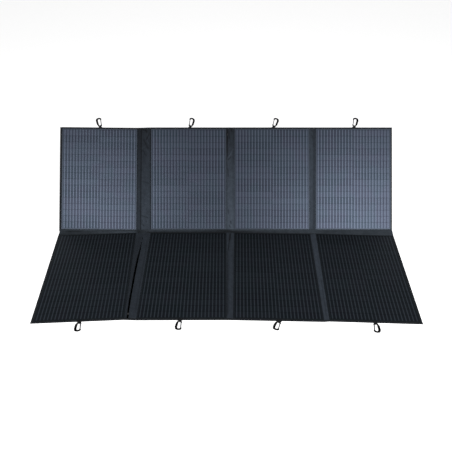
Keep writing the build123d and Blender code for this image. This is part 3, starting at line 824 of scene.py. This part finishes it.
@dataclass
class ColumnSeams:
    """The cloth strips between the panels of one row, each a sheet of its own."""

    plane: RowPlane
    edge_height: float = 2.9 * MM
    floor_height: float = 1.2 * MM
    thickness: float = 0.6 * MM
    tuck: float = 1.0 * MM
    lip: float = 2.6 * MM            # how far cloth stands up beside the open crease
    lip_at: float = 1.3              # the lip's place and spread, in half widths of the crease
    lip_spread: float = 1.4
    wall: float = 0.55               # where the crease's floor ends and its side starts, likewise
    crease_painted_shade: float = 0.96        # how much darker the crease's floor is than the cloth, as painted shade
    left_shade: float = 0.2          # painted shade: how much darker the cloth is to the left of it
    unlit: float = 0.15              # the tone below which the crease's floor gets the near-black painted shadow
    folds: tuple[float, float] = (60, 14)     # wrinkles a metre, across and along
    fine: tuple[float, float] = (150, 90)     # the same for the fine ones
    fine_share: float = 0.45
    pinned_by: float = 6                      # cloth lies flat in the last sixth at each edge
    cuts: tuple[int, int] = (44, 150)

    def open_up(self, look: SeamLook, place: Sequence[float], span: float, height: float,
                tone: float) -> tuple[float, float]:
        """Let the open crease down through the cloth, with a lip along its sides, and paint shade on its
        floor and on the cloth to its left.

        Args:
            look: how the seam lies.
            place: across and along, 0 to 1.
            span: the seam's width here, in metres.
            height: the cloth's height without the crease.
            tone: its tone without the crease.

        Returns:
            Height and tone with it.
        """
        across, along = place
        middle, width = look.gape_at(along)
        away = abs(across - middle) * span / (width / 2)
        open_here = ease(along * 12)    # it opens over the first twelfth
        wall = ease((away - self.wall) / (1 - self.wall))
        lip = self.lip * open_here * math.exp(-((away - self.lip_at) / self.lip_spread) ** 2)
        height = height + (self.floor_height - height) * (1 - wall) * open_here + lip * wall
        # Painted shade on the crease's floor, and on the cloth to its left.
        tone *= 1 - (1 - wall) * self.crease_painted_shade * open_here
        if across < middle:
            tone *= 1 - self.left_shade * open_here
        return height, tone

    def build_one(self, number: int, look: SeamLook) -> Piece:
        """Make one seam strip.

        Args:
            number: the seam, from 1 at the left.
            look: how it lies.

        Returns:
            The strip.
        """
        plane = self.plane
        left_line, right_line = 2 * number - 1, 2 * number
        length = (plane.edges[left_line][1] - plane.edges[left_line][0]).length
        width = (plane.edges[right_line][0] - plane.edges[left_line][0]).length
        seed = Vector((number * 3.1, plane.way * 7.7, 0.0))

        def lie(across: float, along: float) -> tuple[Vector, float]:
            """Crown, bands, creases, wrinkles and the open crease.

            Args:
                across: the share across, 0 to 1.
                along: the share along, 0 to 1.

            Returns:
                The point and the tone.
            """
            left = plane.edge_place(left_line, along) - Vector((self.tuck, 0, 0))
            right = plane.edge_place(right_line, along) + Vector((self.tuck, 0, 0))
            here = left.lerp(right, across)
            span = (right - left).length
            height = self.edge_height + look.crown * MM * (1 - (2 * across - 1) ** 2)
            tone = look.tone(along)
            for band in look.bands:
                inside = band.inside(across)
                tone *= 1 + (band.tone - 1) * inside
                height += band.height * MM * inside
            for crease in look.creases:
                weight = crease.weight(across, along, (span, length))
                height += crease.height * MM * weight
                tone *= 1 + (crease.tone - 1) * weight
            folds = wander(across * span * self.folds[0], along * length * self.folds[1], 0.0, seed)
            fine = wander(across * span * self.fine[0], along * length * self.fine[1], 3.0, seed)
            pinned = min(1.0, self.pinned_by * across, self.pinned_by * (1 - across))
            height += look.wrinkle * MM * (folds + self.fine_share * fine) * pinned
            # Painted shade: the cloth lighter on its wrinkles' ridges and darker in their hollows.
            tone *= 1 + 0.10 * folds + 0.08 * fine
            if look.gape:
                height, tone = self.open_up(look, (across, along), span, height, tone)
            return plane.at(here.x, here.y, max(height, self.floor_height)), tone

        sheet = cloth_sheet(f"{plane.name}_seam_{number}", SEAM_CLOTH, self.cuts, (width, length), lie,
                            plane.normal, self.thickness)
        if look.gape:
            self.paint_gape_shadow(sheet)
        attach(sheet, plane.body)
        return sheet

    def paint_gape_shadow(self, sheet: Piece) -> None:
        """Paint the bottom of the open crease with its near-black painted shadow.

        Args:
            sheet: the seam strip.
        """
        sheet.data.materials.append(CREASE_PAINTED_SHADOW.material())
        tones = sheet.data.attributes["tone"].data
        for face in sheet.data.polygons:
            if max(tones[v].value for v in face.vertices) < self.unlit:
                face.material_index = 1

    def build(self) -> list[Piece]:
        """Make the row's seams.

        Returns:
            The strips, from the left.
        """
        looks = UPPER_SEAMS if self.plane.row is RowName.UPPER else LOWER_SEAMS
        pieces = [self.build_one(number, look) for number, look in enumerate(looks, start=1)]
        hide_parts(self.plane.name + "_seams")
        return pieces


# How the fold cloth lies at places across it, in millimetres: its fullness in millimetres, then its
# tones at the upper edge, upper side, crest, lower side, lip and lower edge. The tones are painted light and
# shade, such as the lit crest and the dark painted shadow line at the lower edge.
FOLD_STATIONS: dict[int, tuple[float, ...]] = {
    -955: (1.8, 0.22, 0.85, 0.70, 0.70, 0.35, 0.10),
    -905: (1.8, 0.24, 0.95, 0.28, 0.50, 0.38, 0.09),
    -850: (1.6, 0.24, 0.95, 0.22, 0.60, 0.42, 0.09),
    -800: (1.6, 0.18, 1.05, 0.65, 0.50, 0.46, 0.12),
    -600: (1.4, 0.14, 0.75, 0.95, 1.05, 0.60, 0.12),
    -530: (1.4, 0.14, 0.75, 0.95, 1.05, 0.60, 0.12),
    -505: (1.0, 0.35, 0.40, 0.28, 0.26, 0.18, 0.10),
    -470: (0.8, 0.55, 0.70, 0.60, 0.50, 0.50, 0.40),
    -440: (0.6, 0.55, 0.90, 0.90, 0.20, 0.16, 0.12),
    -140: (0.6, 0.50, 0.70, 0.70, 0.18, 0.16, 0.12),
    -10: (0.6, 0.25, 0.35, 0.30, 0.18, 0.14, 0.10),
    12: (0.6, 0.60, 0.40, 0.20, 0.30, 0.40, 0.30),
    50: (0.8, 0.45, 0.90, 0.35, 0.15, 0.15, 0.12),
    210: (0.9, 0.30, 0.90, 0.80, 0.40, 0.18, 0.12),
    480: (1.2, 0.28, 0.95, 0.90, 0.72, 0.30, 0.12),
    520: (1.4, 0.50, 0.95, 0.85, 0.80, 0.45, 0.12),
    602: (1.6, 0.70, 0.90, 0.55, 0.54, 0.56, 0.10),
    700: (1.7, 0.75, 0.85, 0.70, 0.66, 0.70, 0.12),
    955: (1.8, 0.85, 0.88, 0.88, 0.78, 0.90, 0.12),
}


@dataclass
class FoldCloth:
    """The cloth that joins the two rows along the fold line, with its piped bead."""

    lower: RowPlane
    upper: RowPlane
    thickness: float = 0.6 * MM
    bead: float = 1.7 * MM
    tuck: float = 1.2 * MM
    seat: float = 2.8 * MM           # the cloth's height where it meets a panel
    ease: float = 1.12               # the cloth's length over the straight way between the panels
    overhang: float = 8.5 * MM       # how far the cloth's ends lap over the edge tape
    ripple: float = 0.7 * MM
    bead_reach: float = 1.6          # how far out the bead shows, in its radii
    cuts: tuple[int, int] = (420, 30)
    stops: tuple[float, ...] = (0.0, 0.2, 0.45, 0.7, 0.88, 1.0)   # the tones' places, upper edge to lower

    def at_station(self, across: float) -> tuple[float, list[float]]:
        """Read the stations at a place across.

        Args:
            across: the place, in metres.

        Returns:
            Fullness in metres, and the tones from the upper to the lower edge.
        """
        places = [place * MM for place in FOLD_STATIONS]
        full, *tones = (np.interp(across, places, column) for column in zip(*FOLD_STATIONS.values()))
        return float(full) * MM, tones

    def side(self, plane: RowPlane, x: float, share: float, full: float) -> Vector:
        """Place on one side of the cloth.

        Args:
            plane: the row on that side.
            x: place across.
            share: 0 at the fold line, 1 at the panels.
            full: how full the cloth stands, in metres.

        Returns:
            The point.
        """
        out = share * (plane.fold_reach(x) + self.tuck)
        height = self.seat * share + (plane.axis_height + self.bead * 0.4) * (1 - share) ** 1.9
        height += full * math.sin(math.pi * share ** 0.8)
        height += self.ripple * wander(x * 32, out * 60, 1.5 * plane.way) * math.sin(math.pi * share)
        bead_end = self.bead * self.bead_reach
        if out < bead_end:
            height += self.bead * (1 - (out / bead_end) ** 2)
        return plane.at(x, out, height)

    def build(self) -> list[Piece]:
        """Make the fold cloth, shaped across the fold from one row to the other.

        Returns:
            The cloth, alone in a list.
        """
        lower, upper = self.lower, self.upper
        half = lower.half_width + self.overhang

        def lie(across: float, along: float) -> tuple[Vector, float]:
            """One side or the other, with the stations' tones of painted light and shade.

            Args:
                across: the share across, 0 to 1.
                along: the share along, 0 to 1.

            Returns:
                The point and the tone.
            """
            x = -half + 2 * half * across
            full, tones = self.at_station(x)
            mottle = wander(x * 45, along * 6, 9.0)
            tone = float(np.interp(1 - along, self.stops, tones)) * (1 + 0.15 * mottle)
            return self.side(lower if along < 0.5 else upper, x, abs(along - 0.5) * 2, full), tone

        reach = max(lower.fold_reach(e[0].x) for e in lower.edges) + self.tuck
        spans = [sum(p.fold_reach(e[0].x) for p in (lower, upper)) for e in lower.edges]
        flat = (2 * half, self.ease * (sum(spans) / len(spans) + 2 * self.tuck))
        sheet = cloth_sheet("fold_cloth", FOLD_CLOTH, self.cuts, flat, lie, Vector((0, -0.7, 0.7)),
                            self.thickness)
        lower.at(0, reach, lower.axis_height)
        upper.at(0, reach, upper.axis_height)
        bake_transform(sheet)
        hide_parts("lower_fold_leaf", "upper_fold_leaf")
        return [sheet]


@dataclass
class BackCloth:
    """The carrier cloth behind one row: stitched round each panel, slacker behind the seams."""

    plane: RowPlane
    thickness: float = 0.5 * MM
    fold_end: float = 0.4 * MM       # how near the cloth comes to the fold line
    panel_cuts: int = 22
    seam_cuts: int = 8
    rows: int = 60
    margin_rows: int = 3             # the rows between the fold line and the panels
    board_sag: tuple[float, float] = (0.25 * MM, 0.2 * MM)   # mean, and how much it drifts
    seam_sag: tuple[float, float] = (0.5 * MM, 1.2 * MM)
    stitch_painted_shade: float = 0.18      # painted shade: how much darker the cloth is along its stitches

    def columns(self) -> list[tuple[int, float]]:
        """Spread the grid lines over the row.

        Returns:
            Each grid line's edge line, and its share of the way to the next one.
        """
        stops = []
        for line in range(2 * COLUMNS - 1):
            count = self.panel_cuts if line % 2 == 0 else self.seam_cuts
            stops.extend((line, step / count) for step in range(count))
        return [*stops, (2 * COLUMNS - 2, 1.0)]

    def spot(self, line: int, share: float, row: int, end: bool) -> tuple[float, float, float]:
        """Find a grid point's place on the row.

        Args:
            line: the edge line to its left.
            share: the share of the way to the next line.
            row: the grid row, from the fold line.
            end: whether the point is on the cloth's left or right end.

        Returns:
            Across, out, and the share of the way down the panels.
        """
        plane = self.plane
        down = max(0.0, (row - self.margin_rows) / (self.rows - self.margin_rows))
        here = plane.edge_place(line, down).lerp(plane.edge_place(line + 1, down), share)
        if row > self.margin_rows:
            return here.x, here.y, down
        near = row / self.margin_rows
        straight = math.copysign(plane.half_width, here.x) if end else here.x
        return straight + (here.x - straight) * near, self.fold_end + (here.y - self.fold_end) * near, 0.0

    def build(self) -> list[Piece]:
        """Make the cloth and its sag.

        Returns:
            The cloth, alone in a list.
        """
        plane = self.plane
        stops = self.columns()
        length = (plane.edges[0][1] - plane.edges[0][0]).length + plane.edges[0][0].y

        def lie(across: float, along: float) -> tuple[Vector, float]:
            """Pinned at the edge lines, sagging between them in the raised row.

            Args:
                across: the share across, 0 to 1.
                along: the share along, 0 to 1.

            Returns:
                The point and the tone.
            """
            line, share = stops[min(len(stops) - 1, round(across * (len(stops) - 1)))]
            x, out, down = self.spot(line, share, round(along * self.rows), not 0 < across < 1)
            pinned = math.sin(math.pi * share) ** 0.5 if 0 < share < 1 else 0.0
            ends = min(1.0, 30 * down, 30 * (1 - down))
            drift = wander(x * 9, out * 7, 5.0 + plane.way)
            behind_board = line % 2 == 0
            mean, more = self.board_sag if behind_board else self.seam_sag
            sag = mean + more * (drift if behind_board else abs(drift))
            height = -sag * pinned * ends if plane.row is RowName.UPPER else 0.0
            # Painted shade along the stitched edge lines; the tone also follows the noise that sets the
            # raised row's sag, as painted shade on it, and is random tone in the lower row.
            return plane.at(x, out, height), 1 + 0.10 * drift - (0.0 if share else self.stitch_painted_shade)

        cuts = (len(stops) - 1, self.rows)
        flat = (2 * plane.half_width, length)
        sheet = cloth_sheet(plane.name + "_backing", BACK_CLOTH, cuts, flat, lie, -plane.normal,
                            self.thickness)
        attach(sheet, plane.body)
        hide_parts(plane.name + "_back_cloth")
        return [sheet]


@dataclass
class EdgeBinding:
    """The tape folded round the three outer sides of a row."""

    plane: RowPlane
    butt_gap: float = 0.25 * MM      # the CAD's lengths of tape are closed up into one
    tape_width: float = 14 * MM
    round_over: float = 1.25 * MM
    spacing: float = 14 * MM
    row_depth: float = 620 * MM
    waver: float = 0.35 * MM
    waver_above: float = 1.5 * MM    # the tape's lower side stays straight
    left_full: dict = field(default_factory=lambda: {RowName.UPPER: 5.0 * MM, RowName.LOWER: 2.5 * MM})

    def butts(self, mesh: bpy.types.Mesh) -> list[int]:
        """Find the faces where one length of tape meets the next.

        Args:
            mesh: the tape's mesh.

        Returns:
            The faces' numbers.
        """
        faces = [(p.index, p.center.copy(), p.normal.copy()) for p in mesh.polygons]
        return [index for index, here, looks in faces
                if any(looks.dot(back) < -0.999 and (there - here).length < self.tape_width
                       and abs((there - here).dot(looks)) < 2 * self.butt_gap
                       for _, there, back in faces)]

    def bisect_every(self, low: float, high: float, direction: Vector) -> None:
        """Cut the open mesh square to a direction at even spacing, for the tape's waver.

        Args:
            low: where the cuts start, from the fold line's middle.
            high: where they end.
            direction: the way that they run.
        """
        count = max(1, int((high - low) / self.spacing))
        for step in range(1, count):
            bpy.ops.mesh.select_all(action="SELECT")
            point = self.plane.fold_point + direction * (low + (high - low) * step / count)
            bpy.ops.mesh.bisect(plane_co=point, plane_no=direction)

    def build(self) -> list[Piece]:
        """Round the tape's edges and let it waver a little between stitches.

        Returns:
            The tape, alone in a list.
        """
        plane = self.plane
        tape = copy_node(plane.name + "_binding", plane.name + "_edge_tape")
        edit(tape)
        bpy.ops.mesh.select_mode(type="FACE")
        bpy.ops.mesh.select_all(action="DESELECT")
        close()
        for index in self.butts(tape.data):
            tape.data.polygons[index].select = True
        bpy.ops.object.mode_set(mode="EDIT")
        bpy.ops.mesh.delete(type="ONLY_FACE")
        bpy.ops.mesh.select_all(action="SELECT")
        bpy.ops.mesh.remove_doubles(threshold=self.butt_gap)
        bpy.ops.mesh.dissolve_limited(angle_limit=math.radians(0.05))
        bpy.ops.mesh.select_all(action="SELECT")
        bpy.ops.mesh.bevel(offset=self.round_over, segments=3, affect="EDGES")
        self.bisect_every(-plane.half_width, plane.half_width, Vector((1, 0, 0)))
        self.bisect_every(0.0, self.row_depth, plane.outward)
        close()
        panel_side = plane.edges[0]
        reach = min(p.x for p in panel_side) - min(plane.local(v.co).x for v in tape.data.vertices)
        for vertex in tape.data.vertices:
            here = plane.local(vertex.co)
            if here.z > self.waver_above:
                drift = wander(here.x * 40, here.y * 40, plane.way * 2.0)
                vertex.co += plane.normal * (self.waver * drift)
            side = float(np.interp(here.y, [p.y for p in panel_side], [p.x for p in panel_side]))
            if here.x < side - reach + 2 * self.round_over:
                vertex.co.x -= self.left_full[plane.row]
        smooth(tape, 50.0)
        dress(tape, EDGE_TAPE)
        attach(tape, plane.body)
        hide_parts(plane.name + "_binding")
        return [tape]


@dataclass
class Stitching:
    """Runs of lockstitch. Each stitch is a short swell of thread that dips into the cloth at its ends."""

    plane: RowPlane
    length: float = 4.6 * MM
    pitch: float = 6.5 * MM
    width: float = 0.9 * MM
    rise: float = 0.35 * MM
    slim: float = 0.45               # how much thinner a stitch is at its ends
    squash: float = 0.7              # how much flatter than round
    tape_inset: float = 2.2 * MM     # from the panels' edges out to the stitches in the tape
    tape_top: float = 3.4 * MM
    back_inset: float = 4 * MM       # from the panels' edges in to the stitches behind them

    def template(self) -> tuple[np.ndarray, list[tuple[int, ...]]]:
        """Model one stitch along X at the origin.

        Returns:
            Its points and its faces.
        """
        deselect_all()
        bpy.ops.mesh.primitive_cylinder_add(vertices=6, radius=self.width / 2, depth=self.length,
                                            rotation=(0, math.pi / 2, 0), end_fill_type="NGON")
        stitch = bpy.context.object
        edit(stitch)
        for share in (-0.25, 0.25):
            bpy.ops.mesh.select_all(action="SELECT")
            bpy.ops.mesh.bisect(plane_co=(share * self.length, 0, 0), plane_no=(1, 0, 0))
        close()
        bpy.ops.object.transform_apply(location=True, rotation=True, scale=True)
        points = []
        for vertex in stitch.data.vertices:
            along = abs(vertex.co.x) / (self.length / 2)
            slim = 1 - self.slim * along ** 3
            points.append((vertex.co.x, vertex.co.y * slim,
                           vertex.co.z * slim * self.squash + self.rise * (0.55 - along ** 2)))
        faces = [tuple(p.vertices) for p in stitch.data.polygons]
        bpy.data.objects.remove(stitch)
        return np.array(points), faces

    def sew(self, name: str, runs: list[Run], up: Vector) -> Piece:
        """Sew stitches along straight runs.

        Args:
            name: the piece's name.
            runs: start and end of each run, on the cloth's surface.
            up: the way that the surface looks.

        Returns:
            The thread, as one piece.
        """
        points, faces = self.template()
        all_points, all_faces = [], []
        for start, end in runs:
            along = (end - start).normalized()
            turn = np.array([along, up.cross(along).normalized(), up]).T
            count = max(1, int((end - start).length / self.pitch))
            for step in range(count):
                middle = start.lerp(end, (step + 0.5) / count)
                first = len(all_points)
                all_points.extend(points @ turn.T + np.array(middle))
                all_faces.extend(tuple(first + i for i in face) for face in faces)
        mesh = bpy.data.meshes.new(name)
        mesh.from_pydata([tuple(p) for p in all_points], [], all_faces)
        thread = link(name, mesh)
        smooth(thread, 60.0)
        dress(thread, THREAD)
        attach(thread, self.plane.body)
        return thread

    def tape_runs(self) -> list[Run]:
        """Runs along the tape, past the panels' corners.

        Returns:
            The runs, in the row frame.
        """
        edges = self.plane.edges
        corners = [edges[0][0], *(edge[1] for edge in edges), edges[-1][0]]
        middle = Vector((0, 0.2, 0))    # a place well inside the row
        runs = []
        for start, end in zip(corners, corners[1:]):
            run = end - start
            square = Vector((run.y, -run.x, 0)).normalized() * self.tape_inset
            if square.dot((start + end) / 2 - middle) < 0:
                square = -square
            runs.append(tuple(self.plane.at(p.x, p.y, self.tape_top) for p in (start + square, end + square)))
        return runs

    def back_runs(self) -> list[Run]:
        """Runs behind the row, round each panel.

        Returns:
            The runs, in the row frame.
        """
        runs = []
        into = Vector((self.back_inset, 0, 0))
        for line in range(0, 2 * COLUMNS, 2):
            left, right = ([end + way * into for end in edge]
                           for way, edge in zip((1, -1), self.plane.edges[line : line + 2]))
            sides = [left, right, (left[0], right[0]), (left[1], right[1])]
            runs += [tuple(self.plane.at(p.x, p.y, 0.0) for p in side) for side in sides]
        return runs

    def build(self) -> list[Piece]:
        """Sew the binding and, behind the row, round each panel.

        Returns:
            The two threads.
        """
        name, up = self.plane.name, self.plane.normal
        return [self.sew(name + "_tape_stitches", self.tape_runs(), up),
                self.sew(name + "_backing_stitches", self.back_runs(), -up)]


@dataclass
class HookLoops:
    """The webbing loops that hold the snap hooks: each wide at the binding and gathered at the hook."""

    plane: RowPlane
    thickness: float = 1.0 * MM
    ring: float = 4.4 * MM           # to the strap's outer face round the bar
    wide: float = 11.5 * MM
    narrow: float = 3.8 * MM
    tail: float = 14.0 * MM
    gathered: float = 0.72           # the share of the tail over which the strap narrows
    ridge: float = 0.35 * MM         # the height of the gathered strap's ridges
    strap: float = 45 * MM

    def side_path(self) -> list[tuple[float, float]]:
        """Trace the strap's middle line as seen from the side.

        Returns:
            Places out from the bar, and above it.
        """
        over = ((-1.0, -0.9), (-0.86, -0.8), (-0.72, 0.0), (-0.58, 1.6), (-0.42, 3.1))
        under = ((-0.42, -3.9), (-0.58, -3.4), (-0.72, -2.9), (-0.86, -2.6), (-1.0, -2.6))
        angles = [math.radians(112 - step * 224 / 18) for step in range(19)]
        return [*((share * self.tail, above * MM) for share, above in over),
                *((self.ring * math.cos(angle), self.ring * math.sin(angle)) for angle in angles),
                *((share * self.tail, above * MM) for share, above in under)]

    def build_one(self, number: int) -> Piece:
        """Make the loop of one hook, from the hook's own joint.

        Args:
            number: the hook, from 1 at the left.

        Returns:
            The loop.
        """
        plane = self.plane
        name = f"{plane.name}_hook_{number}"
        swing = joint(name + "_swing")
        bar = Vector(swing["pos_m"])
        sideways = -Vector(swing["axis"]).normalized()
        outward = plane.normal.cross(sideways).normalized()
        if outward.dot(plane.outward) < 0:
            outward = -outward
        path = self.side_path()
        last = len(path) - 1

        def lie(across: float, along: float) -> tuple[Vector, float]:
            """Along the side path, narrower towards the bar.

            Args:
                across: the share across, 0 to 1.
                along: the share along, 0 to 1.

            Returns:
                The point and the tone.
            """
            index = min(int(along * last + 1e-6), last - 1)
            share = along * last - index
            out, above = (a + (b - a) * share for a, b in zip(path[index], path[index + 1]))
            spread = ease(-out / (self.tail * self.gathered))
            x = (2 * across - 1) * (self.narrow + (self.wide - self.narrow) * spread)
            ridge = self.ridge * math.cos(across * math.pi * 4) * (1 - spread)
            point = bar + sideways * x + outward * out + plane.normal * (above + ridge * 0.5)
            return point, 1.0 - 0.25 * abs(2 * across - 1) ** 6

        sheet = cloth_sheet(name + "_loop", WEBBING, (8, last * 2), (2 * self.wide, self.strap), lie,
                            plane.normal, self.thickness)
        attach(sheet, plane.body)
        return sheet

    def build(self) -> list[Piece]:
        """Make the row's loops.

        Returns:
            The loops, from the left.
        """
        loops = [self.build_one(number) for number in range(1, COLUMNS + 1)]
        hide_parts(self.plane.name + "_loops")
        return loops


# --- CAD nodes, dressed as they are or drawn fuller ---


@dataclass
class SolarPanels:
    """The laminates of a row, each dressed from its own plane, and the boards and leads behind them."""

    plane: RowPlane

    def build(self) -> None:
        """Dress the row's panels."""
        plane = self.plane
        for number in range(1, COLUMNS + 1):
            corners = plane.panel_corners(number)
            middle = sum(corners, Vector()) / 4
            points = [plane.at(*corner) for corner in corners]
            across = (points[1] - points[0]).normalized()
            turn = Matrix((across, plane.normal.cross(across), plane.normal)).transposed().to_euler("XYZ")
            finish = SolarLaminate(f"solar_laminate_{plane.name}_{number}", tuple(plane.at(*middle)),
                                   tuple(turn))
            dress_nodes(finish, f"{plane.name}_laminate_{number}")
        dress_nodes(BOARD_STOCK, plane.name + "_boards")
        dress_nodes(LEAD_JACKET, plane.name + "_leads")


@dataclass
class SnapHooks:
    """The snap hooks of a row: anodised bars, lighter gates and plated rivets.

    A bar is drawn a little fuller in the hook's own plane than its nominal round, as a forged one is,
    except in the eye that the webbing goes round.
    """

    plane: RowPlane
    full: float = 1.2 * MM
    eye: tuple[float, float] = (7 * MM, 13 * MM)   # where the fullness starts and where it is whole

    def build_one(self, number: int) -> Piece:
        """Make one hook's fuller bar from its node.

        Args:
            number: the hook, from 1 at the left.

        Returns:
            The bar.
        """
        name = f"{self.plane.name}_hook_{number}"
        up = self.plane.normal
        pivot = Vector(joint(name + "_swing")["pos_m"])
        bar = copy_node(name, name + "_bar")
        edit(bar)
        bpy.ops.mesh.remove_doubles(threshold=0.01 * MM)
        close()
        start, whole = self.eye
        moves = []
        for vertex in bar.data.vertices:
            share = ease(((vertex.co - pivot).length - start) / (whole - start))
            moves.append((vertex.normal - up * vertex.normal.dot(up)) * self.full * share)
        for vertex, move in zip(bar.data.vertices, moves):
            vertex.co += move
        smooth(bar, 40.0)
        dress(bar, HOOK_METAL)
        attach(bar, name)
        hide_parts(name)
        return bar

    def build(self) -> list[Piece]:
        """Build the bars and dress the gates and rivets.

        Returns:
            The bars.
        """
        bars = []
        for number in range(1, COLUMNS + 1):
            bars.append(self.build_one(number))
            dress_nodes(GATE_METAL, f"{self.plane.name}_gate_{number}")
            dress_nodes(PLATING, f"{self.plane.name}_rivet_{number}")
        return bars


@dataclass
class PropLegs:
    """The four prop legs with their feet, brackets, pins and rivets."""

    def build(self) -> None:
        """Dress the legs and what holds them."""
        for number in range(1, COLUMNS + 1):
            dress_nodes(LEG_METAL, f"leg_{number}")
            dress_nodes(FOOT_RUBBER, f"leg_foot_{number}")
        dress_nodes(NYLON, "leg_brackets")
        dress_nodes(PLATING, "leg_pins", "bracket_rivets")


@dataclass
class JunctionBox:
    """The junction box behind the last panel, with its output socket."""

    def build(self) -> None:
        """Dress the box and its socket."""
        dress_nodes(BOX_SHELL, "box_tray", "box_lid")
        dress_nodes(SOCKET_SHELL, "output_socket")


# --- studio ---


@dataclass
class Studio:
    """White floor and surroundings, two soft boxes beside the camera, and the camera itself."""

    upper: RowPlane
    camera_distance: float = 2.52
    camera_up_slope: float = 0.031
    lens: float = 34.75
    face_height: float = 4.8 * MM
    floor_half: float = 8.0
    floor_glow: float = 0.62         # what the floor adds, to the eye alone, to be clear white
    ambient: float = 0.30
    aim_in: float = 0.3              # where a soft box is aimed: its share across, and up the slope
    aim_up: float = 0.25
    boxes: tuple[tuple[float, ...], ...] = (   # across, up the slope, away, width, height, power
        (-1.55, 0.05, 2.7, 1.7, 1.3, 44.0),
        (1.62, 0.0, 2.7, 1.7, 1.3, 65.0),
    )

    def from_slope(self, across: float, up: float, away: float) -> Vector:
        """Point given across, up the slope from the camera's aim, and away from the upper row."""
        aim = self.upper.at(across, self.camera_up_slope + up, self.face_height)
        return aim + self.upper.normal * away

    def build_floor(self) -> None:
        """Lay the white floor, which keeps the blanket's soft shadow."""
        deselect_all()
        bpy.ops.mesh.primitive_plane_add(size=2 * self.floor_half, location=(0, 0, 0))
        floor = bpy.context.object
        floor.name = "studio_floor"
        material = bpy.data.materials.new("white_painted_floor")
        material.use_nodes = True
        nodes = Nodes(material.node_tree)
        paint = nodes.shader(linear("#f4f4f4"), 0.9, Specular_IOR_Level=0.1)
        glow = nodes.add("Emission", {
            "Color": linear("#ffffff"),
            "Strength": nodes.calc("MULTIPLY", nodes.to_the_eye(), self.floor_glow)})
        both = nodes.add("AddShader", {0: paint.outputs["BSDF"], 1: glow.outputs["Emission"]})
        nodes.add("OutputMaterial", {"Surface": both.outputs["Shader"]})
        floor.data.materials.append(material)

    def build_world(self) -> None:
        """White surroundings to the eye and in reflections, softer as light."""
        world = bpy.data.worlds.new("white_studio")
        bpy.context.scene.world = world
        world.use_nodes = True
        nodes = Nodes(world.node_tree)
        back = nodes.add("Background", {
            "Color": linear("#ffffff"),
            "Strength": nodes.ramp(nodes.to_the_eye(), 0.0, 1.0, self.ambient, 1.0)})
        nodes.add("OutputWorld", {"Surface": back.outputs["Background"]})

    def build_lights(self) -> None:
        """Set up the soft boxes, each aimed at the upper row."""
        for number, (across, up, away, width, height, power) in enumerate(self.boxes, start=1):
            light = bpy.data.lights.new(f"soft_box_{number}", "AREA")
            light.shape = "RECTANGLE"
            light.size, light.size_y, light.energy = width, height, power
            lamp = link(light.name, light)
            lamp.location = self.from_slope(across, up, away)
            target = self.upper.at(across * self.aim_in, self.aim_up, self.face_height)
            lamp.rotation_euler = (lamp.location - target).to_track_quat("Z", "Y").to_euler()

    def build_camera(self) -> None:
        """Stand the camera square to the upper row, a little above the fold line."""
        camera = link("camera", bpy.data.cameras.new("camera"))
        camera.data.lens = self.lens
        camera.data.sensor_width = 36.0
        camera.data.clip_start, camera.data.clip_end = 0.05, 100.0
        camera.location = self.from_slope(0.0, 0.0, self.camera_distance)
        camera.rotation_euler = Euler((self.upper.lean, 0.0, 0.0))
        bpy.context.scene.camera = camera

    def build(self) -> None:
        """Set the whole studio up."""
        self.build_floor()
        self.build_world()
        self.build_lights()
        self.build_camera()
        bpy.context.scene.view_settings.view_transform = "Standard"


def main() -> None:
    """Build each sub-assembly in order."""
    rows = (RowPlane(RowName.LOWER), RowPlane(RowName.UPPER))
    for plane in rows:
        SolarPanels(plane).build()
        log.info("%s panels dressed", plane.name)
    makers = [kind(plane) for plane in rows
              for kind in (ColumnSeams, BackCloth, EdgeBinding, Stitching, HookLoops)]
    for maker in [*makers, FoldCloth(*rows), *map(SnapHooks, rows)]:
        for piece in maker.build():
            log.info("%s: %d faces", piece.name, len(piece.data.polygons))
    PropLegs().build()
    JunctionBox().build()
    log.info("legs and junction box dressed")
    Studio(rows[1]).build()


if __name__ == "__main__":
    main()
